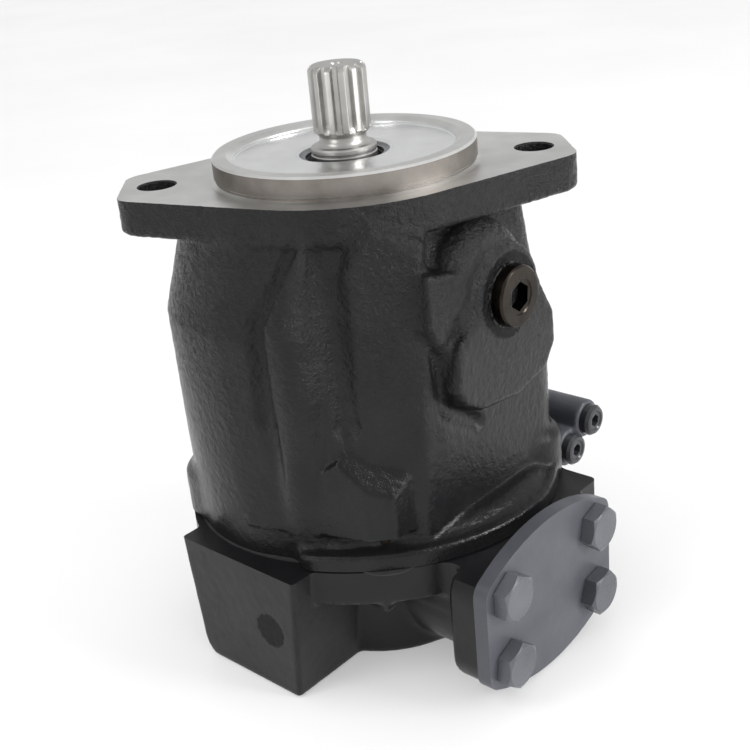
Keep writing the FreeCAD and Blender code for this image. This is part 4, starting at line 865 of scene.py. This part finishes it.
def block_cutters():
    cutters = [
        block("joint", (-110, 110), (-110, 110), (JOINT, 0)),
        lathe("bearing", [(0, -156.7), (16, -156.7), (20, -156.7), (20, -139), (0, -139)], 96),
        lathe("shaft_end", [(0, -160.7), (12.2, -160.7), (12.2, -150), (0, -150)], 48),
    ]
    face = block("face", (SUCTION_FACE, SUCTION_FACE + 40), (-90, 90), (-230, -100))
    cutters.append(place(face, PORT_TURN))
    face = block("face", (PRESSURE_FACE - 40, PRESSURE_FACE), (-90, 90), (-230, -100))
    cutters.append(place(face, PORT_TURN))
    valve = block("valve", (-60, 60), (VALVE_FACE_W, 130), (-230, -104))
    cutters.append(place(valve, PORT_TURN))
    suction = lathe("suction", [(0, -63), (16, -63), (16, 1), (0, 1)], 72)
    cutters.append(place(suction, port_axis(SUCTION_FACE, 0, PORT_Z)))
    port = [(0, -54), (9.5, -54), (9.5, -0.8), (10.3, 0), (10.3, 1), (0, 1)]
    cutters.append(place(lathe("pressure", port, 64), port_axis(PRESSURE_FACE, 0, PORT_Z, "-u")))
    for w in (-1, 1):
        for z in (-1, 1):
            hole = lathe("bolt", [(0, -16), (5, -16), (5, 1), (0, 1)], 32)
            cutters.append(place(hole, port_axis(SUCTION_FACE, w * BOLT_W, PORT_Z + z * BOLT_Z)))
            thread = [(0, -20), (4.25, -18), (4.25, -0.7), (4.95, 0), (4.95, 1), (0, 1)]
            hole = lathe("thread", thread, 32)
            at = port_axis(PRESSURE_FACE, w * PRESSURE_BOLT_W, PORT_Z + z * PRESSURE_BOLT_Z, "-u")
            cutters.append(place(hole, at))
    for x, y in SCREW_PLACES:
        bore = [(0, -200), (8.5, -200), (8.5, -144.5), (5, -144.5), (5, -139), (0, -139)]
        cutters.append(place(lathe("screw", bore, 48), shift(x, y)))
    plug = [(0, -14), (7, -14), (7, -0.8), (7.8, 0), (7.8, 1), (0, 1)]
    at = port_axis(BLOCK_PLUG_U, BLOCK_FRONT_W, BLOCK_PLUG_Z, "-w")
    cutters.append(place(lathe("plug", plug, 48), at))
    for u, z in VALVE_SCREWS:
        hole = lathe("thread", [(0, -9), (2.5, -9), (2.5, 2), (0, 2)], 24)
        cutters.append(place(hole, port_axis(u, VALVE_FACE_W, z, "w")))
    return cutters


def build_block(mats):
    step = 1.0
    g = Grid((-92, -94, -199), (94, 92, -130), step)
    obj = g.mesh("port_block_casting", block_field(g))
    roughen(obj, 0.05, 3.5)
    boolean(obj, block_cutters())
    dress(obj, mats["block_paint"])
    shade(obj, 32)
    settle(obj, "block_paint", HOUSING, "port_block")


# ---------------------------------------------------------------- painted cover and its bolts

def cover_points():
    """Corner-rounded cover outline as points in w and z, from its arcs."""
    r, segments = COVER_CORNER, 14
    half_w, half_h, arc = COVER_HALF_W - r, COVER_HALF_H - r, COVER_ARC - r
    drop = arc - half_h
    edge_z = math.sqrt(arc * arc - half_w * half_w) - drop
    tilt = math.atan2(half_w, edge_z + drop)
    points = []
    for i in range(segments + 1):
        a = math.pi / 2 * i / segments
        limit = math.pi / 2 - tilt
        angle = min(a, limit)
        points.append((half_w + r * math.cos(angle), edge_z + r * math.sin(angle)))
    for i in range(1, segments + 1):
        angle = math.pi / 2 - tilt + 2 * tilt * i / segments
        points.append(((arc + r) * math.cos(angle), (arc + r) * math.sin(angle) - drop))
    for i in range(1, segments + 1):
        angle = math.pi / 2 + tilt + (math.pi / 2 - tilt) * i / segments
        points.append((-half_w + r * math.cos(angle), edge_z + r * math.sin(angle)))
    points += [(-x, -z) for x, z in points]
    clean = []
    for p in points:
        if not clean or math.hypot(p[0] - clean[-1][0], p[1] - clean[-1][1]) > 0.05:
            clean.append(p)
    return clean


def build_cover(mats):
    plate = prism("cover_plate", [(z, w) for w, z in cover_points()][::-1], 0, COVER_T)
    cutters = []
    for w in (-1, 1):
        for z in (-1, 1):
            hole = lathe("hole", [(0, -1), (5.4, -1), (5.4, COVER_T + 1), (0, COVER_T + 1)], 32)
            cutters.append(place(hole, shift(z * BOLT_Z, w * BOLT_W)))
    boolean(plate, cutters)
    bevel(plate, 0.9, 3, 40)
    place(plate, port_axis(SUCTION_FACE, 0, PORT_Z))
    dress(shade(plate, 40), mats["cover_paint"])
    settle(plate, "block_paint", HOUSING, "suction_cover")


def hex_bolt(flats, head, shank_r, length, turn):
    """Hexagon bolt on +Z with its seat at zero: turned-down corners, washer face and soft edges."""
    body = prism("bolt", hexagon_points(flats, turn), 0.5, head)
    slope = math.tan(math.radians(30))
    far, face_r = 0.62 * flats, 0.47 * flats
    cone = [(0, -1), (far, -1), (far, head - (far - face_r) * slope), (face_r, head), (0, head)]
    boolean(body, [lathe("turn_down", cone, 96)], "INTERSECT")
    washer = lathe("washer", [(0, 0), (face_r, 0), (0.48 * flats, 0.6), (0, 0.6)], 48)
    boolean(body, [washer], "UNION")
    rod = [(0, 0.3), (shank_r, 0.3), (shank_r, -length + 1), (shank_r - 1, -length), (0, -length)]
    shank = lathe("shank", rod, 32)
    boolean(body, [shank], "UNION")
    return bevel(body, 0.35, 2, 25)


def build_bolts(mats):
    turns = {(-1, -1): 8.0, (-1, 1): 0.0, (1, -1): 22.0, (1, 1): 14.0}
    bolts = []
    for (w, z), turn in turns.items():
        bolt = hex_bolt(17.0, 6.4, 4.8, 14.0, turn)
        bolts.append(place(bolt, port_axis(SUCTION_FACE + COVER_T, w * BOLT_W, PORT_Z + z * BOLT_Z)))
    obj = join("cover_bolts", bolts)
    dress(shade(obj, 30), mats["bolt_paint"])
    settle(obj, "bolt_paint", HOUSING, "suction_cover_bolts")


# ---------------------------------------------------------------- drain plug and block plug

def build_drain_plug(mats):
    profile = [
        (0, -12), (9.6, -12), (10.4, -11), (10.4, 0), (12.0, 0),
        (12.0, 4.2), (11.3, 5.0), (7.2, 5.0), (6.7, 4.6), (0, 4.6),
    ]
    plug = lathe("drain_plug_body", profile, 96)
    socket = prism("socket", hexagon_points(10.0, 6.0), -1.2, 9)
    boolean(plug, [socket])
    bevel(plug, 0.22, 2, 40)
    place(plug, port_axis(DRAIN_FACE, DRAIN_W, DRAIN_Z))
    dress(shade(plug, 30), mats["black_oxide"])
    settle(plug, "black_oxide", HOUSING, "drain_plug")


def build_block_plug(mats):
    profile = [
        (0, -9), (6.2, -9), (6.9, -8.2), (6.9, -1.9),
        (6.2, -1.2), (5.2, -1.0), (4.6, -1.6), (0, -1.6),
    ]
    plug = lathe("block_plug_body", profile, 64)
    boolean(plug, [prism("socket", hexagon_points(6.0, 0.0), -6, 3)])
    bevel(plug, 0.15, 2, 40)
    place(plug, port_axis(BLOCK_PLUG_U, BLOCK_FRONT_W + 2.0, BLOCK_PLUG_Z, "-w"))
    dress(shade(plug, 30), mats["plug_paint"])
    settle(plug, "black_oxide", HOUSING, "block_screw_plug")


# ---------------------------------------------------------------- drive shaft

TEETH, TIP_R, ROOT_R = 13, 11.1, 9.25
FLANK_START, FLANK_SHARE = 0.36, 0.24


def tooth_radius(angle, depth):
    """Radius of the spline at an angle, with rounded tips and roots; depth 0 is a plain shaft."""
    phase = (angle * TEETH / (2 * math.pi)) % 1.0
    across = abs(phase - 0.5) * 2.0
    rise = min(max((across - FLANK_START) / FLANK_SHARE, 0.0), 1.0)
    rise = rise * rise * (3 - 2 * rise)
    root = TIP_R - (TIP_R - ROOT_R) * depth
    return root + (TIP_R - root) * rise


def build_shaft(mats):
    """Upper end of the drive shaft: splines with cutter run-out, neck and collar."""
    segments = TEETH * 28
    levels = [
        (12.4, 0.0, 9.05), (13.0, 0.0, 9.3), (14.2, 0.0, 10.6), (14.8, 0.35, 11.1),
        (15.6, 0.72, 11.1), (16.6, 0.93, 11.1), (18.0, 1.0, 11.1),
        (36.6, 1.0, 11.1), (37.6, 1.0, 10.9), (38.5, 1.0, 10.1), (39.0, 1.0, 9.2),
    ]
    bm = bmesh.new()
    rings = []
    for z, depth, cap in levels:
        ring = []
        for i in range(segments):
            a = 2 * math.pi * i / segments
            r = min(tooth_radius(a, depth), cap)
            ring.append(bm.verts.new((r * math.cos(a) * MM, r * math.sin(a) * MM, z * MM)))
        rings.append(ring)
    for a, b in zip(rings, rings[1:]):
        for i in range(segments):
            j = (i + 1) % segments
            bm.faces.new((a[i], a[j], b[j], b[i]))
    bm.faces.new(rings[0][::-1])
    bm.faces.new(rings[-1])
    splines = finish_bmesh("splines", bm)
    centre = lathe("centre", [(0, 35.5), (1.2, 36.6), (2.4, 38.6), (3.1, 39.4), (0, 39.4)], 32)
    boolean(splines, [centre])
    below = [
        (0, -158), (7.5, -158), (8.5, -157), (8.5, -142.5), (10.4, -142.5), (10.4, -108),
        (12.2, -108), (12.2, -26.5), (16, -26.5), (16, -21.5), (12.5, -21.5), (12.5, -5.3),
        (12.75, -5.3), (12.75, 5.6), (12.35, 6.0), (12.35, 6.6), (12.75, 7.0), (12.75, 8.2), (12.2, 8.8),
        (10.6, 9.1), (9.6, 9.9), (9.05, 11.0), (9.0, 12.6), (0, 12.6),
    ]
    stem = lathe("stem", below, 96)
    teeth_low = []
    for i in range(20):
        for half, r in ((-5.6, 12.1), (-3.4, 13.4), (3.4, 13.4), (5.6, 12.1)):
            a = math.radians(18 * i + half)
            teeth_low.append((r * math.cos(a), r * math.sin(a)))
    drive = prism("drive_teeth", teeth_low, -108, -88)
    boolean(splines, [stem, drive], "UNION")
    splines.name = "drive_shaft_body"
    dress(shade(splines, 28), mats["shaft_steel"])
    settle(splines, "shaft_steel", ROTOR, "drive_shaft")


# ---------------------------------------------------------------- control valve

def valve_field(g):
    body = box3(g.u, g.w, g.z, ((-28.0, 32.0), (VALVE_FACE_W - 6.0, VALVE_BACK_W), (-154.0, -110.0)), 3.0)
    for w, z, end in VALVE_BORES.values():
        barrel = rounded(disc(g.w, g.z, w, z, 8.6), between(g.u, -33.8, end), 1.2)
        body = smooth_min(body, barrel, 3.0)
    for u, z in VALVE_SCREWS:
        pad = rounded(disc(g.u, g.z, u, z, 6.0), between(g.w, 60.0, VALVE_BACK_W + 0.6), 0.8)
        body = smooth_min(body, pad, 2.0)
    return body


def build_valve(mats):
    g = Grid((0, -30, -158), (115, 96, -106), 0.9)
    obj = g.mesh("control_valve_casting", valve_field(g))
    roughen(obj, 0.05, 2.2)
    cutters = [place(block("back", (-60, 60), (20, VALVE_FACE_W), (-230, -60)), PORT_TURN)]
    for w, z, end in VALVE_BORES.values():
        bore = [
            (0, -60), (6.8, -60), (6.8, -12), (4.02, -12),
            (4.02, 42), (5.2, 42), (5.2, end + 3.0), (0, end + 3.0),
        ]
        cutters.append(place(lathe("bore", bore, 48), port_axis(0, w, z)))
    for u, z in VALVE_SCREWS:
        hole = lathe("hole", [(0, -30), (2.5, -30), (2.5, 30), (0, 30)], 24)
        cutters.append(place(hole, port_axis(u, VALVE_BACK_W, z, "w")))
    boolean(obj, cutters)
    dress(shade(obj, 32), mats["cover_paint"])
    settle(obj, "block_paint", HOUSING, "control_valve_body")
    plugs, screws = [], []
    for w, z, end in VALVE_BORES.values():
        profile = [
            (0, -6), (5.1, -6), (5.1, 0), (7.0, 0), (7.0, 3.0),
            (6.0, 4.4), (4.6, 4.7), (4.0, 4.0), (0, 4.0),
        ]
        plug = lathe("plug", profile, 64)
        boolean(plug, [prism("socket", hexagon_points(5.0, 10.0), 0.6, 8)])
        plugs.append(place(bevel(plug, 0.15, 2, 40), port_axis(end, w, z)))
    obj = join("valve_plugs", plugs)
    dress(shade(obj, 30), mats["plug_paint"])
    settle(obj, "bolt_paint", HOUSING, "valve_end_plugs")
    for u, z in VALVE_SCREWS:
        profile = [(0, -20), (2.4, -20), (2.4, 0), (4.2, 0), (4.2, 4.6), (3.8, 5.0), (0, 5.0)]
        screw = lathe("screw", profile, 48)
        boolean(screw, [prism("socket", hexagon_points(4.0, 0.0), 2.2, 8)])
        screws.append(place(bevel(screw, 0.12, 2, 40), port_axis(u, VALVE_BACK_W, z, "w")))
    obj = join("valve_screw_set", screws)
    dress(shade(obj, 30), mats["black_oxide"])
    settle(obj, "black_oxide", HOUSING, "valve_screws")


def coil(name, mean_r, wire_r, low, high, turns):
    """Round-wire spring on +Z whose end turns lie close together."""
    end_squeeze = 0.045
    steps, sides = turns * 36, 12
    rings = []
    bm = bmesh.new()
    for i in range(steps + 1):
        share = i / steps
        eased = share - end_squeeze * math.sin(2 * math.pi * share)
        a = 2 * math.pi * turns * share
        z = low + wire_r + (high - low - 2 * wire_r) * eased
        ring = []
        for j in range(sides):
            b = 2 * math.pi * j / sides
            r = mean_r + wire_r * math.cos(b)
            height = z + wire_r * math.sin(b)
            ring.append(bm.verts.new((r * math.cos(a) * MM, r * math.sin(a) * MM, height * MM)))
        rings.append(ring)
    for a, b in zip(rings, rings[1:]):
        for j in range(sides):
            k = (j + 1) % sides
            bm.faces.new((a[j], a[k], b[k], b[j]))
    bm.faces.new(rings[0])
    bm.faces.new(rings[-1][::-1])
    return finish_bmesh(name, bm)


def build_valve_springs(mats):
    """Springs behind the two spools, each with a mesh of its own."""
    low, high = VALVE_SPRING_SPAN
    for name, (w, z, _) in VALVE_BORES.items():
        spring = coil(name + "_coil", 4.6, 0.8, low, high, 5)
        place(spring, port_axis(0, w, z))
        dress(shade(spring, 60), mats["spring_steel"])
        settle(spring, "spring_steel", HOUSING, name + "_spring")
        bpy.context.view_layer.update()
        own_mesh(spring)


# ---------------------------------------------------------------- stage, lights and camera

TARGET = Vector((0.0, 0.0, -0.090))
AZIMUTH, ELEVATION, ROLL = -1.071, 23.752, 5.658
DISTANCE = 0.500513
FOCAL = 1205.765 / 750.0
CENTRE_SHIFT = (0.0107, 0.0050)


def build_camera():
    a, e, r = (math.radians(v) for v in (AZIMUTH, ELEVATION, ROLL))
    back = Vector((math.sin(a) * math.cos(e), -math.cos(a) * math.cos(e), math.sin(e)))
    right = Vector((math.cos(a), math.sin(a), 0.0))
    up = back.cross(right)
    side = right * math.cos(r) - up * math.sin(r)
    top = right * math.sin(r) + up * math.cos(r)
    data = bpy.data.cameras.new("camera")
    data.sensor_width = 36.0
    data.lens = FOCAL * 36.0
    data.shift_x, data.shift_y = CENTRE_SHIFT
    data.clip_start = 0.01
    cam = bpy.data.objects.new("camera", data)
    bpy.context.scene.collection.objects.link(cam)
    turn = Matrix((side, top, back)).transposed().to_4x4()
    cam.matrix_world = Matrix.Translation(TARGET + back * DISTANCE) @ turn
    bpy.context.scene.camera = cam


def build_floor():
    bm = bmesh.new()
    bmesh.ops.create_grid(bm, x_segments=1, y_segments=1, size=12.0)
    obj = finish_bmesh("floor", bm)
    place(obj, Matrix.Translation((0, 0, CAD_BOX[0][2] - 0.0002)))
    look = Look("pale_floor")
    tone = look.noise(look.coords(), 3.0, 3.0)
    look.feed("Base Color", look.tone(tone, (0.3, (0.86, 0.86, 0.86)), (0.7, (0.90, 0.90, 0.90))))
    look.feed("Roughness", 0.7)
    dress(obj, look.material)


def area_light(name, at, aim, size, power):
    data = bpy.data.lights.new(name, "AREA")
    data.shape = "RECTANGLE"
    data.size, data.size_y = size
    data.energy = power
    obj = bpy.data.objects.new(name, data)
    bpy.context.scene.collection.objects.link(obj)
    direction = Vector(aim) - Vector(at)
    obj.matrix_world = Matrix.Translation(at) @ direction.to_track_quat("-Z", "Y").to_matrix().to_4x4()


def build_lights():
    sun = bpy.data.lights.new("overhead", "SUN")
    sun.energy = 1.8
    sun.angle = math.radians(12.0)
    sun.use_shadow = False
    overhead = bpy.data.objects.new("overhead", sun)
    overhead.rotation_euler = Vector((-0.73, 0.28, -0.62)).to_track_quat("-Z", "Y").to_euler()
    bpy.context.scene.collection.objects.link(overhead)
    area_light("left", (-1.00, -0.50, 1.10), (0, 0, -0.06), (0.5, 0.6), 4.0)
    area_light("low_left", (-0.95, -0.90, 0.10), (0, 0, -0.03), (0.4, 0.25), 2.0)
    area_light("right", (1.25, -0.55, 0.30), (0, 0, -0.08), (0.5, 0.9), 9.5)
    world = bpy.data.worlds.new("studio")
    world.use_nodes = True
    background = world.node_tree.nodes["Background"]
    background.inputs["Color"].default_value = (1.0, 1.0, 1.0, 1.0)
    background.inputs["Strength"].default_value = 0.70
    bpy.context.scene.world = world
    bpy.context.scene.view_settings.view_transform = "Standard"


# ---------------------------------------------------------------- build

CAD_LOOKS = {
    "pump_housing": "cast_paint", "port_block": "block_paint",
    "joint_gasket": "rubber", "suction_cover_seal": "rubber",
    "drain_plug_seal": "rubber", "shaft_seal": "rubber", "valve_face_seals": "rubber",
    "adjuster_caps": "zinc_steel", "adjuster_lock_nuts": "zinc_steel",
    "pressure_adjusting_screw": "zinc_steel", "flow_adjusting_screw": "zinc_steel",
}


def dress_cad(mats):
    """Give every carried-over CAD node its procedural material."""
    slot_of = {part["node"]: part["material_slot"] for part in frame["record"]["subparts"]}
    for node, obj in frame["nodes"].items():
        key = CAD_LOOKS.get(node, slot_of[node])
        obj.data.materials.clear()
        obj.data.materials.append(mats[key])


materials = make_materials()
dress_cad(materials)
build_housing(materials)
build_block(materials)
build_cover(materials)
build_bolts(materials)
build_drain_plug(materials)
build_block_plug(materials)
build_shaft(materials)
build_valve(materials)
build_valve_springs(materials)
build_floor()
build_lights()
build_camera()
